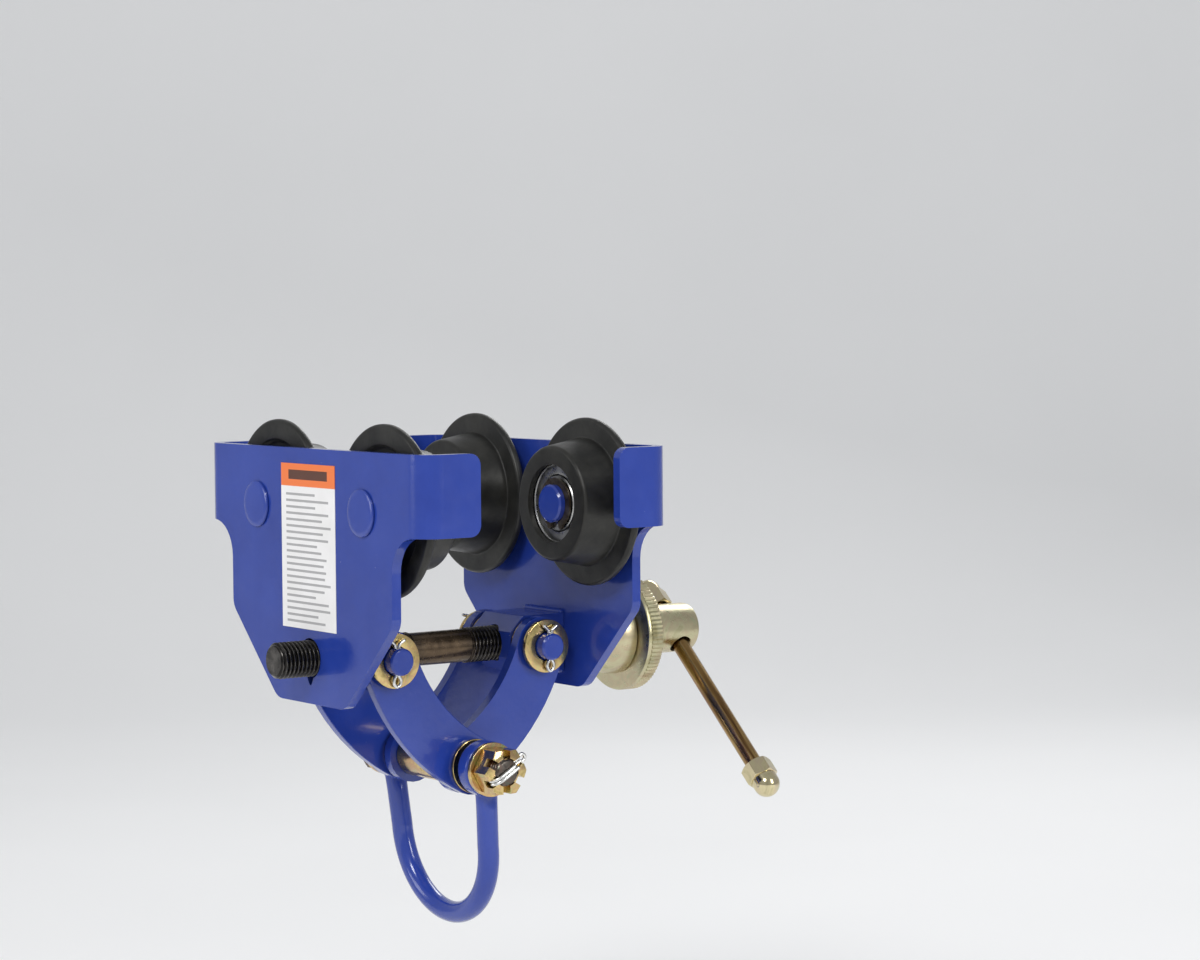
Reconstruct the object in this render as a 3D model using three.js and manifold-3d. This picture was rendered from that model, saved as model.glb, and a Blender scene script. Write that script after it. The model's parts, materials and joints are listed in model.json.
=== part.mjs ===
// Push-type beam trolley: two bent side plates with four flanged wheels run on the bottom flange of
// an I-beam. A screw spindle with a left-hand and a right-hand thread draws the plates together or
// apart, four bowed arms carry the load to one bolt, and a shackle hangs from that bolt.
//
// Millimetres. X runs along the beam, Y across its flange with the front plate at -Y, Z is up.
// The origin is midway between the four wheels, at the height where their treads touch the flange.
import * as THREE from "three";
import { mergeVertices } from "three/addons/utils/BufferGeometryUtils.js";
import Module from "manifold-3d";

const wasm = await Module();
wasm.setup();

// ---------------------------------------------------------------- driving dimensions
const GAP = 0.3; // clearance between neighbouring pieces
const OVERRUN = 2; // how far a cutting tool passes the faces it cuts

// side plates
const PLATE_FACE = 65; // outer face, distance from the middle plane
const SHEET = 4.5; // plate thickness
const PLATE_TOP = 52;
const PLATE_BOTTOM = -59.4;
const WING_BOTTOM = 17.2;
const WING_REACH = 91; // half width over the two bent wings
const WING_DEPTH = 29; // from the outer face to the free edge
const WING_CORNER = 5;
const BEND_RADIUS = 11; // outside of the bend
const WAIST = 67; // half width below the wings
const WAIST_FILLET = 16;
const CHAMFER_TOP = -20.8; // where the waist turns in at 45 degrees
const SHOULDER_ROUND = 8;
const FOOT_ROUND = 10;
const NOTCH_WIDTH = 8; // keying notch below the spindle hole
const NOTCH_DEPTH = 5;

// wheels, axles and bearings
const WHEELBASE = 88;
const AXLE_HEIGHT = 26;
const FLANGE_RADIUS = 37.5;
const FLANGE_THICKNESS = 4;
const TREAD_OUTER_RADIUS = 28.6; // next to the flange
const TREAD_INNER_RADIUS = 25.6; // web end: the 1 in 6 taper of a rolled flange
const WHEEL_INNER = 33; // web end of the tread, distance from the middle plane
const WHEEL_OUTER = 55; // plate side of the flange
const DISH_RADIUS = 28.5;
const DISH_DEPTH = 2;
const BEARING_RADIUS = 20; // 17 x 40 x 12 deep-groove ball bearing
const BEARING_BORE = 8.7;
const BEARING_WIDTH = 12;
const WHEEL_LIP = 3; // web-side lip that holds the bearing
const WHEEL_LIP_RADIUS = 17.5;
const AXLE_RADIUS = 8.4;
const AXLE_HEAD_RADIUS = 10.2;
const AXLE_HEAD_HEIGHT = 1.5;
const AXLE_SHOULDER_RADIUS = 12;
const CIRCLIP_THICKNESS = 1;
const CIRCLIP_OUTER = 11.4;
const CIRCLIP_INNER = 7.9;

// spindle and its hub
const SCREW_HEIGHT = -39.4;
const SCREW_RADIUS = 8; // M16 x 2
const SHANK_RADIUS = 7.5; // plain middle
const SHANK_HALF = 15.5;
const SCREW_FRONT_END = -83.4;
const SCREW_REAR_END = 122;
const SCREW_CHAMFER = 1.6;
const DOME_RADIUS = 19;
const DOME_RIM = 2;
const KNOB_FRONT = 100; // front face of the knurled flange
const KNOB_RADIUS = 27;
const KNOB_WIDTH = 9.5;
const NECK_RADIUS = 11.5;
const NECK_END = 142.7;
const HUB_PIN_RADIUS = 2;
const HUB_PIN_PLACE = 116;

// tommy bar
const BAR_PLACE = 133; // Y of the cross hole
const BAR_RADIUS = 3.9;
const BAR_HOLE_RADIUS = 5;
const BAR_SLOPE = THREE.MathUtils.degToRad(-42.7); // below +X
const BAR_STOP = 12; // hub axis to the face of the upper nut
const BAR_REACH = 86.3; // hub axis to the face of the lower nut
const CAP_NUT_FLATS = 13;
const CAP_NUT_HEX = 8;
const CAP_NUT_LENGTH = 17;
const CAP_NUT_BORE_DEPTH = 11;

// trunnions, arms and the load bolt
const TRUNNION_PLACE = 42.3; // distance from the middle plane
const TRUNNION_RADIUS = 6;
const BLOCK_INNER = 30.5;
const BLOCK_HALF_HEIGHT = 13;
const BLOCK_BEVEL = 7;
const ARM_THICKNESS = 5;
const ARM_HALF_WIDTH = 13;
const ARM_BOW = 6.5;
const BOLT_HEIGHT = -89.2;
const BOLT_RADIUS = 6;
const BORE = 6.4; // clearance hole for every 12 mm pin and bolt
const SPACER_HALF = 17.7;
const SPACER_RADIUS = 9.75;
const WASHER_RADIUS = 12;
const PIN_WASHER = 2.2; // thickness
const STACK_WASHER = 1.6; // thickness, between and outside the arms
const STACK_GAP = 0.2; // running clearance in the bolt stack
const PIN_WASHER_PLAY = 2;
const PIN_PROUD = 5.2;
const SPLIT_HOLE_RADIUS = 1.6;
const SPLIT_WIRE_RADIUS = 0.65;
const SPLIT_LEG_OFFSET = 0.72;
const NUT_PIN_TURN = 30; // the nut's split pin rises this many degrees from Y
const NUT_PIN_HOLE_RADIUS = 1.75;
const NUT_PIN_WIRE_RADIUS = 0.8;
const NUT_PIN_LEG_OFFSET = 0.85;
const HEX_FLATS = 19;
const HEAD_HEIGHT = 7.6;
const NUT_HEIGHT = 10.5;
const NUT_SLOT_WIDTH = 3.8;
const NUT_SLOT_DEPTH = 4.6;
const BOLT_END_PROUD = 0.8;

// shackle
const SHACKLE_BAR = 4.8; // radius
const EYE_RADIUS = 12.2;
const EYE_NECK_HALF_WIDTH = 5.4; // flattened neck between an eye and its leg
const EYE_NECK_END = 16;
const EYE_THICKNESS = 8;
const SHACKLE_PLAY = 2.8;
const SHACKLE_DROP = 70.3; // bolt axis to the middle of the bow
const BOW_RADIUS = 35;
const SHACKLE_REST = THREE.MathUtils.degToRad(5); // hangs this far to the rear

// label
const LABEL_WIDTH = 45;
const LABEL_TOP = 45.2;
const LABEL_BOTTOM = -26.9;
const LABEL_THICKNESS = 0.2;
const LABEL_LIFT = 0.05;

// ---------------------------------------------------------------- worked-out places
const PLATE_INNER = PLATE_FACE - SHEET;
const ARM_LENGTH = Math.hypot(TRUNNION_PLACE, SCREW_HEIGHT - BOLT_HEIGHT);
const REAR_ARM_X = SPACER_HALF + GAP; // inner face of a rear arm
const MIDDLE_WASHER_X = REAR_ARM_X + ARM_THICKNESS + STACK_GAP;
const FRONT_ARM_X = MIDDLE_WASHER_X + STACK_WASHER + STACK_GAP;
const OUTER_WASHER_X = FRONT_ARM_X + ARM_THICKNESS + STACK_GAP;
const EYE_LEFT_X = -(OUTER_WASHER_X + STACK_WASHER + STACK_GAP + EYE_THICKNESS / 2);
const EYE_RIGHT_X = -EYE_LEFT_X + SHACKLE_PLAY;
const HEAD_WASHER_X = EYE_LEFT_X - EYE_THICKNESS / 2 - STACK_GAP - PIN_WASHER;
const HEAD_X = HEAD_WASHER_X - STACK_GAP - HEAD_HEIGHT;
const NUT_WASHER_X = EYE_RIGHT_X + EYE_THICKNESS / 2 + STACK_GAP;
const NUT_X = NUT_WASHER_X + PIN_WASHER + STACK_GAP;
const BOLT_END_X = NUT_X + NUT_HEIGHT + BOLT_END_PROUD;
const BEARING_INNER_FACE = WHEEL_INNER + WHEEL_LIP + GAP;
const BEARING_OUTER_FACE = BEARING_INNER_FACE + BEARING_WIDTH;
const CIRCLIP_FACE = BEARING_INNER_FACE - GAP;

// ---------------------------------------------------------------- materials
function finish(color, roughness, metalness) {
  return new THREE.MeshStandardMaterial({ color, roughness, metalness });
}

const BLUE_PAINT = () => finish(0x2f3fa5, 0.3, 0);
const YELLOW_ZINC = () => finish(0xb39a55, 0.35, 1);
const BLACK_WHEEL = () => finish(0x26251f, 0.5, 0.2);
const BEARING_STEEL = () => finish(0x9a9a98, 0.3, 1);
const BLACK_OXIDE = () => finish(0x2b2824, 0.4, 0.8);
const BRIGHT_WIRE = () => finish(0xd5d5cf, 0.25, 1);
const STICKER = () => finish(0xf4f2ee, 0.5, 0);

// ---------------------------------------------------------------- solids
// A closed solid from a geometry's triangles, with its faces turned outwards.
function solid(geometry) {
  const bare = geometry.clone();
  bare.deleteAttribute("normal");
  bare.deleteAttribute("uv");
  const merged = mergeVertices(bare, 1e-4);
  const vertProperties = new Float32Array(merged.attributes.position.array);
  const triVerts = new Uint32Array(merged.index.array);
  const made = new wasm.Manifold(new wasm.Mesh({ numProp: 3, vertProperties, triVerts }));
  if (made.volume() > 0) return made;
  for (let i = 0; i < triVerts.length; i += 3) {
    [triVerts[i + 1], triVerts[i + 2]] = [triVerts[i + 2], triVerts[i + 1]];
  }
  return new wasm.Manifold(new wasm.Mesh({ numProp: 3, vertProperties, triVerts }));
}

// A solid as a named mesh.
function piece(name, material, body) {
  const { numProp, vertProperties, triVerts } = body.getMesh();
  const count = vertProperties.length / numProp;
  const positions = new Float32Array(count * 3);
  for (let i = 0; i < count; i += 1) {
    positions.set(vertProperties.subarray(i * numProp, i * numProp + 3), i * 3);
  }
  const geometry = new THREE.BufferGeometry();
  geometry.setAttribute("position", new THREE.BufferAttribute(positions, 3));
  geometry.setIndex(new THREE.BufferAttribute(triVerts, 1));
  geometry.computeVertexNormals();
  const mesh = new THREE.Mesh(geometry, material());
  mesh.name = name;
  return mesh;
}

// A solid of revolution about Y. The profile is a list of [radius, y] points.
function turned(profile, segments) {
  const closed = profile[0][0] === 0 ? profile : [...profile, profile[0]];
  const points = closed.map(([radius, y]) => new THREE.Vector2(radius, y));
  return solid(new THREE.LatheGeometry(points, segments));
}

// The same about X: the second number of each point is then an X.
function turnedAlongX(profile, segments) {
  return turned(profile, segments).rotate([0, 0, -90]);
}

function ring(inner, outer, from, to, segments) {
  return turned([[inner, from], [outer, from], [outer, to], [inner, to]], segments);
}

function ringAlongX(inner, outer, from, to, segments) {
  return turnedAlongX([[inner, from], [outer, from], [outer, to], [inner, to]], segments);
}

function rod(radius, from, to, segments) {
  return turned([[0, from], [radius, from], [radius, to], [0, to]], segments);
}

function rodAlongX(radius, from, to, segments) {
  return turnedAlongX([[0, from], [radius, from], [radius, to], [0, to]], segments);
}

function extrude(shape, depth, curveSegments) {
  return solid(new THREE.ExtrudeGeometry(shape, { depth, bevelEnabled: false, curveSegments }));
}

// Shapes drawn in the XY, XZ and YZ planes and extruded along the third axis.
function alongZ(shape, from, to, curveSegments) {
  return extrude(shape, to - from, curveSegments).translate([0, 0, from]);
}

function alongY(shape, from, to, curveSegments) {
  return extrude(shape, to - from, curveSegments).rotate([90, 0, 0]).translate([0, to, 0]);
}

function alongX(shape, from, to, curveSegments) {
  return extrude(shape, to - from, curveSegments).rotate([90, 0, 90]).translate([from, 0, 0]);
}

// A closed outline through [a, b, radius] corners, each rounded to its radius.
function roundedOutline(corners) {
  const shape = new THREE.Shape();
  corners.forEach(([a, b, radius = 0], i) => {
    const corner = new THREE.Vector2(a, b);
    const before = new THREE.Vector2(...corners[(i + corners.length - 1) % corners.length]);
    const after = new THREE.Vector2(...corners[(i + 1) % corners.length]);
    const back = before.sub(corner).normalize();
    const ahead = after.sub(corner).normalize();
    const halfAngle = Math.acos(THREE.MathUtils.clamp(back.dot(ahead), -1, 1)) / 2;
    const reach = radius / Math.tan(halfAngle);
    const enter = corner.clone().addScaledVector(back, reach);
    if (i === 0) shape.moveTo(enter.x, enter.y);
    else shape.lineTo(enter.x, enter.y);
    if (radius === 0) return;
    const centre = back.clone().add(ahead).normalize();
    centre.multiplyScalar(radius / Math.sin(halfAngle)).add(corner);
    const leave = corner.clone().addScaledVector(ahead, reach);
    const start = Math.atan2(enter.y - centre.y, enter.x - centre.x);
    const end = Math.atan2(leave.y - centre.y, leave.x - centre.x);
    const clockwise = back.cross(ahead) > 0;
    shape.absarc(centre.x, centre.y, radius, start, end, clockwise);
  });
  return shape;
}

function hexagon(acrossFlats) {
  const corner = acrossFlats / Math.sqrt(3);
  const points = [0, 1, 2, 3, 4, 5].map((i) => {
    const angle = (i * Math.PI) / 3;
    return [corner * Math.cos(angle), corner * Math.sin(angle)];
  });
  return roundedOutline(points);
}

// A round wire bent along a smooth route of [x, y, z] points.
function wire(route, radius, sides, steps) {
  const path = new THREE.CatmullRomCurve3(route.map((p) => new THREE.Vector3(...p)));
  const section = new THREE.Shape().absarc(0, 0, radius, 0, 2 * Math.PI);
  return solid(
    new THREE.ExtrudeGeometry(section, {
      steps,
      curveSegments: sides / 2,
      bevelEnabled: false,
      extrudePath: path,
    }),
  );
}

// ---------------------------------------------------------------- side plate
// The sheet seen from above, as bent: a flat with a quarter bend and a wing at each end.
function bentSheet() {
  const face = -PLATE_FACE;
  const inner = -PLATE_INNER;
  const edge = face + WING_DEPTH;
  const inside = WING_REACH - SHEET;
  const outline = roundedOutline([
    [-WING_REACH, edge],
    [-WING_REACH, face, BEND_RADIUS],
    [WING_REACH, face, BEND_RADIUS],
    [WING_REACH, edge],
    [inside, edge],
    [inside, inner, BEND_RADIUS - SHEET],
    [-inside, inner, BEND_RADIUS - SHEET],
    [-inside, edge],
  ]);
  return alongZ(outline, PLATE_BOTTOM - OVERRUN, PLATE_TOP + OVERRUN, 4);
}

// The plate seen from the front: wings above, a waist and a chamfered foot.
function plateFace() {
  const foot = WAIST - (CHAMFER_TOP - PLATE_BOTTOM);
  const side = WING_REACH + OVERRUN;
  const half = [
    [side, PLATE_TOP],
    [side, WING_BOTTOM],
    [WAIST, WING_BOTTOM, WAIST_FILLET],
    [WAIST, CHAMFER_TOP, SHOULDER_ROUND],
    [foot, PLATE_BOTTOM, FOOT_ROUND],
  ];
  const otherHalf = half.map(([x, z, radius]) => [-x, z, radius]).reverse();
  const outline = roundedOutline([...half, ...otherHalf]);
  return alongY(outline, -PLATE_FACE - OVERRUN, -PLATE_FACE + WING_DEPTH + OVERRUN, 4);
}

// The plate seen from its end: round corners on the free edge of each wing.
function plateEnd() {
  const behind = -PLATE_FACE - OVERRUN;
  const inFront = -PLATE_INNER + OVERRUN;
  const edge = -PLATE_FACE + WING_DEPTH;
  const outline = roundedOutline([
    [behind, PLATE_BOTTOM - OVERRUN],
    [inFront, PLATE_BOTTOM - OVERRUN],
    [inFront, WING_BOTTOM],
    [edge, WING_BOTTOM, WING_CORNER],
    [edge, PLATE_TOP, WING_CORNER],
    [behind, PLATE_TOP],
  ]);
  return alongX(outline, -WING_REACH - OVERRUN, WING_REACH + OVERRUN, 3);
}

function plateHole(radius, x, z) {
  const drill = rod(radius, -PLATE_FACE - OVERRUN, -PLATE_INNER + OVERRUN, 28);
  return drill.translate([x, 0, z]);
}

function keyNotch() {
  const top = SCREW_HEIGHT - SCREW_RADIUS + OVERRUN;
  const bottom = SCREW_HEIGHT - SCREW_RADIUS - NOTCH_DEPTH;
  const outline = roundedOutline([
    [-NOTCH_WIDTH / 2, top],
    [NOTCH_WIDTH / 2, top],
    [0, bottom, 1.2],
  ]);
  return alongY(outline, -PLATE_FACE - OVERRUN, -PLATE_INNER + OVERRUN, 4);
}

function sidePlate(side) {
  let body = bentSheet().intersect(plateFace()).intersect(plateEnd());
  for (const x of [-WHEELBASE / 2, WHEELBASE / 2]) {
    body = body.subtract(plateHole(AXLE_RADIUS + GAP, x, AXLE_HEIGHT));
  }
  body = body.subtract(plateHole(SCREW_RADIUS + 0.75, 0, SCREW_HEIGHT)).subtract(keyNotch());
  return piece(`${side}_plate`, BLUE_PAINT, body);
}

// ---------------------------------------------------------------- wheel, bearing and axle
function wheel(name) {
  const flangeBack = -(WHEEL_OUTER - FLANGE_THICKNESS);
  const seat = BEARING_RADIUS + GAP;
  const body = turned(
    [
      [WHEEL_LIP_RADIUS, -WHEEL_INNER],
      [TREAD_INNER_RADIUS, -WHEEL_INNER],
      [TREAD_OUTER_RADIUS, flangeBack],
      [FLANGE_RADIUS, flangeBack],
      [FLANGE_RADIUS, -WHEEL_OUTER + 1],
      [FLANGE_RADIUS - 1, -WHEEL_OUTER],
      [DISH_RADIUS, -WHEEL_OUTER],
      [DISH_RADIUS, -WHEEL_OUTER + DISH_DEPTH],
      [seat, -WHEEL_OUTER + DISH_DEPTH],
      [seat, -WHEEL_INNER - WHEEL_LIP],
      [WHEEL_LIP_RADIUS, -WHEEL_INNER - WHEEL_LIP],
    ],
    28,
  );
  return piece(name, BLACK_WHEEL, body);
}

// Outer race with its two shields: a channel that opens towards the axle.
function outerRace(name) {
  const shield = 1;
  const raceInner = 17;
  const shieldInner = 12.9;
  const body = turned(
    [
      [BEARING_RADIUS, -BEARING_INNER_FACE],
      [BEARING_RADIUS, -BEARING_OUTER_FACE],
      [shieldInner, -BEARING_OUTER_FACE],
      [shieldInner, -BEARING_OUTER_FACE + shield],
      [raceInner, -BEARING_OUTER_FACE + shield],
      [raceInner, -BEARING_INNER_FACE - shield],
      [shieldInner, -BEARING_INNER_FACE - shield],
      [shieldInner, -BEARING_INNER_FACE],
    ],
    16,
  );
  return piece(name, BEARING_STEEL, body);
}

function innerRace(name) {
  const body = ring(BEARING_BORE, 12.4, -BEARING_OUTER_FACE, -BEARING_INNER_FACE, 16);
  return piece(name, BEARING_STEEL, body);
}

// Riveted into the plate at its head, with a shoulder between the plate and the bearing.
function axle(name) {
  const head = -PLATE_FACE - AXLE_HEAD_HEIGHT;
  const groove = AXLE_RADIUS - 0.8;
  const body = turned(
    [
      [0, head],
      [AXLE_HEAD_RADIUS - 0.6, head],
      [AXLE_HEAD_RADIUS, head + 0.6],
      [AXLE_HEAD_RADIUS, -PLATE_FACE - GAP],
      [AXLE_RADIUS, -PLATE_FACE - GAP],
      [AXLE_RADIUS, -PLATE_INNER + GAP],
      [AXLE_SHOULDER_RADIUS, -PLATE_INNER + GAP],
      [AXLE_SHOULDER_RADIUS, -BEARING_OUTER_FACE - GAP],
      [AXLE_RADIUS, -BEARING_OUTER_FACE - GAP],
      [AXLE_RADIUS, -CIRCLIP_FACE],
      [groove, -CIRCLIP_FACE],
      [groove, -CIRCLIP_FACE + CIRCLIP_THICKNESS + GAP],
      [AXLE_RADIUS, -CIRCLIP_FACE + CIRCLIP_THICKNESS + GAP],
      [AXLE_RADIUS, -WHEEL_INNER + 0.4],
      [AXLE_RADIUS - 0.8, -WHEEL_INNER + 1.2],
      [0, -WHEEL_INNER + 1.2],
    ],
    16,
  );
  return piece(name, BLUE_PAINT, body);
}

// Snap ring in the axle's groove: an open ring with two lugs.
function circlip(name) {
  const opening = THREE.MathUtils.degToRad(16);
  const outline = new THREE.Shape();
  outline.absarc(0, 0, CIRCLIP_OUTER, opening, 2 * Math.PI - opening);
  outline.absarc(0, 0, CIRCLIP_INNER, 2 * Math.PI - opening, opening, true);
  const back = -CIRCLIP_FACE + 0.1;
  const lug = rod(1.6, back, back + CIRCLIP_THICKNESS, 8);
  const lugRadius = CIRCLIP_OUTER - 0.6;
  let body = alongY(outline, back, back + CIRCLIP_THICKNESS, 8);
  for (const turn of [opening + 0.12, -opening - 0.12]) {
    body = body.add(lug.translate([lugRadius * Math.cos(turn), 0, lugRadius * Math.sin(turn)]));
  }
  return piece(name, BLACK_OXIDE, body.rotate([0, 90, 0]));
}

// Everything that turns about, or is fixed to, one axle.
function wheelUnit(side, hand, x) {
  const unit = new THREE.Group();
  unit.add(
    wheel(`${side}_wheel_${hand}`),
    outerRace(`${side}_bearing_outer_${hand}`),
    innerRace(`${side}_bearing_inner_${hand}`),
    axle(`${side}_axle_${hand}`),
    circlip(`${side}_circlip_${hand}`),
  );
  unit.position.set(x, 0, AXLE_HEIGHT);
  return unit;
}

// ---------------------------------------------------------------- trunnions
// Along a trunnion pin, from the middle outwards: block end, washer, arm, washer, split pin, end.
function trunnionStack(armX) {
  const blockEnd = armX - GAP - PIN_WASHER - GAP;
  const outerWasher = armX + ARM_THICKNESS + PIN_WASHER_PLAY;
  const splitPin = outerWasher + PIN_WASHER + SPLIT_HOLE_RADIUS;
  const pinEnd = outerWasher + PIN_WASHER + PIN_PROUD;
  return { blockEnd, innerWasher: blockEnd + GAP, outerWasher, splitPin, pinEnd };
}

// A threaded bar behind the plate with a round pin turned on each end.
function trunnionBlock(side, stack) {
  const outline = roundedOutline([
    [-PLATE_INNER + GAP, SCREW_HEIGHT - BLOCK_HALF_HEIGHT],
    [-BLOCK_INNER - BLOCK_BEVEL, SCREW_HEIGHT - BLOCK_HALF_HEIGHT],
    [-BLOCK_INNER, SCREW_HEIGHT - BLOCK_HALF_HEIGHT + BLOCK_BEVEL],
    [-BLOCK_INNER, SCREW_HEIGHT + BLOCK_HALF_HEIGHT - BLOCK_BEVEL],
    [-BLOCK_INNER - BLOCK_BEVEL, SCREW_HEIGHT + BLOCK_HALF_HEIGHT],
    [-PLATE_INNER + GAP, SCREW_HEIGHT + BLOCK_HALF_HEIGHT],
  ]);
  const bar = alongX(outline, -stack.blockEnd, stack.blockEnd, 1);
  const chamfer = 0.8;
  const pins = turnedAlongX(
    [
      [0, -stack.pinEnd],
      [TRUNNION_RADIUS - chamfer, -stack.pinEnd],
      [TRUNNION_RADIUS, -stack.pinEnd + chamfer],
      [TRUNNION_RADIUS, stack.pinEnd - chamfer],
      [TRUNNION_RADIUS - chamfer, stack.pinEnd],
      [0, stack.pinEnd],
    ],
    24,
  ).translate([0, -TRUNNION_PLACE, SCREW_HEIGHT]);
  const bore = rod(SCREW_RADIUS + GAP, -PLATE_FACE, -BLOCK_INNER + OVERRUN, 28);
  let body = bar.add(pins).subtract(bore.translate([0, 0, SCREW_HEIGHT]));
  const drill = rod(SPLIT_HOLE_RADIUS, -2 * TRUNNION_RADIUS, 2 * TRUNNION_RADIUS, 12);
  for (const x of [-stack.splitPin, stack.splitPin]) {
    body = body.subtract(drill.rotate([90, 0, 0]).translate([x, -TRUNNION_PLACE, SCREW_HEIGHT]));
  }
  return piece(`${side}_trunnion_block`, BLUE_PAINT, body);
}

function pinWasher(name, from) {
  const body = ringAlongX(BORE, WASHER_RADIUS, from, from + PIN_WASHER, 16);
  return piece(name, YELLOW_ZINC, body.translate([0, -TRUNNION_PLACE, SCREW_HEIGHT]));
}

// A split pin standing in its hole, eye down, with its two legs spread on top.
function splitPin(name, x) {
  const leg = SPLIT_LEG_OFFSET;
  const route = [
    [0, -4.4, 7.4],
    [0, -2.2, 8.3],
    [0, -leg, 6.9],
    [0, -leg, 3],
    [0, -leg, -3],
    [0, -leg, -6.4],
    [0, -1.8, -8.6],
    [0, 0, -11],
    [0, 1.8, -8.6],
    [0, leg, -6.4],
    [0, leg, -3],
    [0, leg, 3],
    [0, leg, 7],
    [0, 1.6, 9],
    [0, 3, 10],
  ];
  const body = wire(route, SPLIT_WIRE_RADIUS, 4, 22);
  return piece(name, BRIGHT_WIRE, body.translate([x, -TRUNNION_PLACE, SCREW_HEIGHT]));
}

function trunnion(side, armX, hands) {
  const stack = trunnionStack(armX);
  const group = new THREE.Group();
  group.add(trunnionBlock(side, stack));
  for (const [hand, sign] of [[hands[0], -1], [hands[1], 1]]) {
    const inner = sign > 0 ? stack.innerWasher : -stack.innerWasher - PIN_WASHER;
    const outer = sign > 0 ? stack.outerWasher : -stack.outerWasher - PIN_WASHER;
    group.add(
      pinWasher(`${side}_inner_washer_${hand}`, inner),
      pinWasher(`${side}_outer_washer_${hand}`, outer),
      splitPin(`${side}_split_pin_${hand}`, sign * stack.splitPin),
    );
  }
  return group;
}

// ---------------------------------------------------------------- arms
// A flat bar bowed outwards between the trunnion pin and the load bolt, with round ends.
function arm(name, from) {
  const rise = BOLT_HEIGHT - SCREW_HEIGHT;
  const along = Math.atan2(rise, TRUNNION_PLACE);
  const outwards = along - Math.PI / 2;
  const bend = (ARM_LENGTH ** 2 / 4 + ARM_BOW ** 2) / (2 * ARM_BOW);
  const sweep = Math.asin(ARM_LENGTH / 2 / bend);
  const inset = bend - ARM_BOW;
  const centreY = -TRUNNION_PLACE / 2 - inset * Math.cos(outwards);
  const centreZ = SCREW_HEIGHT + rise / 2 - inset * Math.sin(outwards);
  const outline = new THREE.Shape();
  outline.absarc(centreY, centreZ, bend + ARM_HALF_WIDTH, outwards - sweep, outwards + sweep);
  outline.absarc(0, BOLT_HEIGHT, ARM_HALF_WIDTH, outwards + sweep, outwards + sweep + Math.PI);
  outline.absarc(centreY, centreZ, bend - ARM_HALF_WIDTH, outwards + sweep, outwards - sweep, true);
  outline.absarc(
    -TRUNNION_PLACE,
    SCREW_HEIGHT,
    ARM_HALF_WIDTH,
    outwards - sweep + Math.PI,
    outwards - sweep + 2 * Math.PI,
  );
  const drill = rodAlongX(BORE, from - OVERRUN, from + ARM_THICKNESS + OVERRUN, 20);
  const body = alongX(outline, from, from + ARM_THICKNESS, 6)
    .subtract(drill.translate([0, 0, BOLT_HEIGHT]))
    .subtract(drill.translate([0, -TRUNNION_PLACE, SCREW_HEIGHT]));
  return piece(name, BLUE_PAINT, body);
}

function armPair(side, armX, hands) {
  const pair = new THREE.Group();
  pair.add(
    arm(`${side}_arm_${hands[0]}`, -armX - ARM_THICKNESS),
    arm(`${side}_arm_${hands[1]}`, armX),
  );
  return pair;
}

// ---------------------------------------------------------------- load bolt and what is on it
function boltWasher(name, thickness, from) {
  const body = ringAlongX(BORE, WASHER_RADIUS, from, from + thickness, 16);
  return piece(name, YELLOW_ZINC, body);
}

function hexAlongX(from, to) {
  const prism = alongX(hexagon(HEX_FLATS), from, to, 1);
  const corner = HEX_FLATS / Math.sqrt(3);
  const bevel = corner - HEX_FLATS / 2;
  const turnedBlank = turnedAlongX(
    [
      [0, from],
      [corner - bevel, from],
      [corner + GAP, from + bevel * 0.6],
      [corner + GAP, to - bevel * 0.6],
      [corner - bevel, to],
      [0, to],
    ],
    24,
  );
  return prism.intersect(turnedBlank);
}

// Split pin hole of the bolt, through the slots of the castle nut.
const NUT_PIN_X = NUT_X + NUT_HEIGHT - NUT_SLOT_DEPTH / 2;

function loadBolt() {
  const chamfer = 1;
  const shank = turnedAlongX(
    [
      [0, HEAD_X + HEAD_HEIGHT / 2],
      [BOLT_RADIUS, HEAD_X + HEAD_HEIGHT / 2],
      [BOLT_RADIUS, BOLT_END_X - chamfer],
      [BOLT_RADIUS - chamfer, BOLT_END_X],
      [0, BOLT_END_X],
    ],
    24,
  );
  const drill = rod(NUT_PIN_HOLE_RADIUS, -2 * BOLT_RADIUS, 2 * BOLT_RADIUS, 12);
  const body = hexAlongX(HEAD_X, HEAD_X + HEAD_HEIGHT)
    .add(shank)
    .subtract(drill.rotate([NUT_PIN_TURN, 0, 0]).translate([NUT_PIN_X, 0, 0]));
  return piece("load_bolt", YELLOW_ZINC, body);
}

function castleNut() {
  const crown = NUT_X + NUT_HEIGHT - NUT_SLOT_DEPTH;
  let body = hexAlongX(NUT_X, NUT_X + NUT_HEIGHT);
  body = body.subtract(rodAlongX(BORE, NUT_X - OVERRUN, NUT_X + NUT_HEIGHT + OVERRUN, 24));
  const slotOutline = roundedOutline([
    [-HEX_FLATS, -NUT_SLOT_WIDTH / 2],
    [HEX_FLATS, -NUT_SLOT_WIDTH / 2],
    [HEX_FLATS, NUT_SLOT_WIDTH / 2],
    [-HEX_FLATS, NUT_SLOT_WIDTH / 2],
  ]);
  const slot = alongX(slotOutline, crown, crown + NUT_SLOT_DEPTH + OVERRUN, 1);
  // the slots cut the flats, and one of them is in line with the split pin
  for (const turn of [NUT_PIN_TURN, NUT_PIN_TURN + 60, NUT_PIN_TURN + 120]) {
    body = body.subtract(slot.rotate([turn, 0, 0]));
  }
  return piece("castle_nut", YELLOW_ZINC, body);
}

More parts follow.
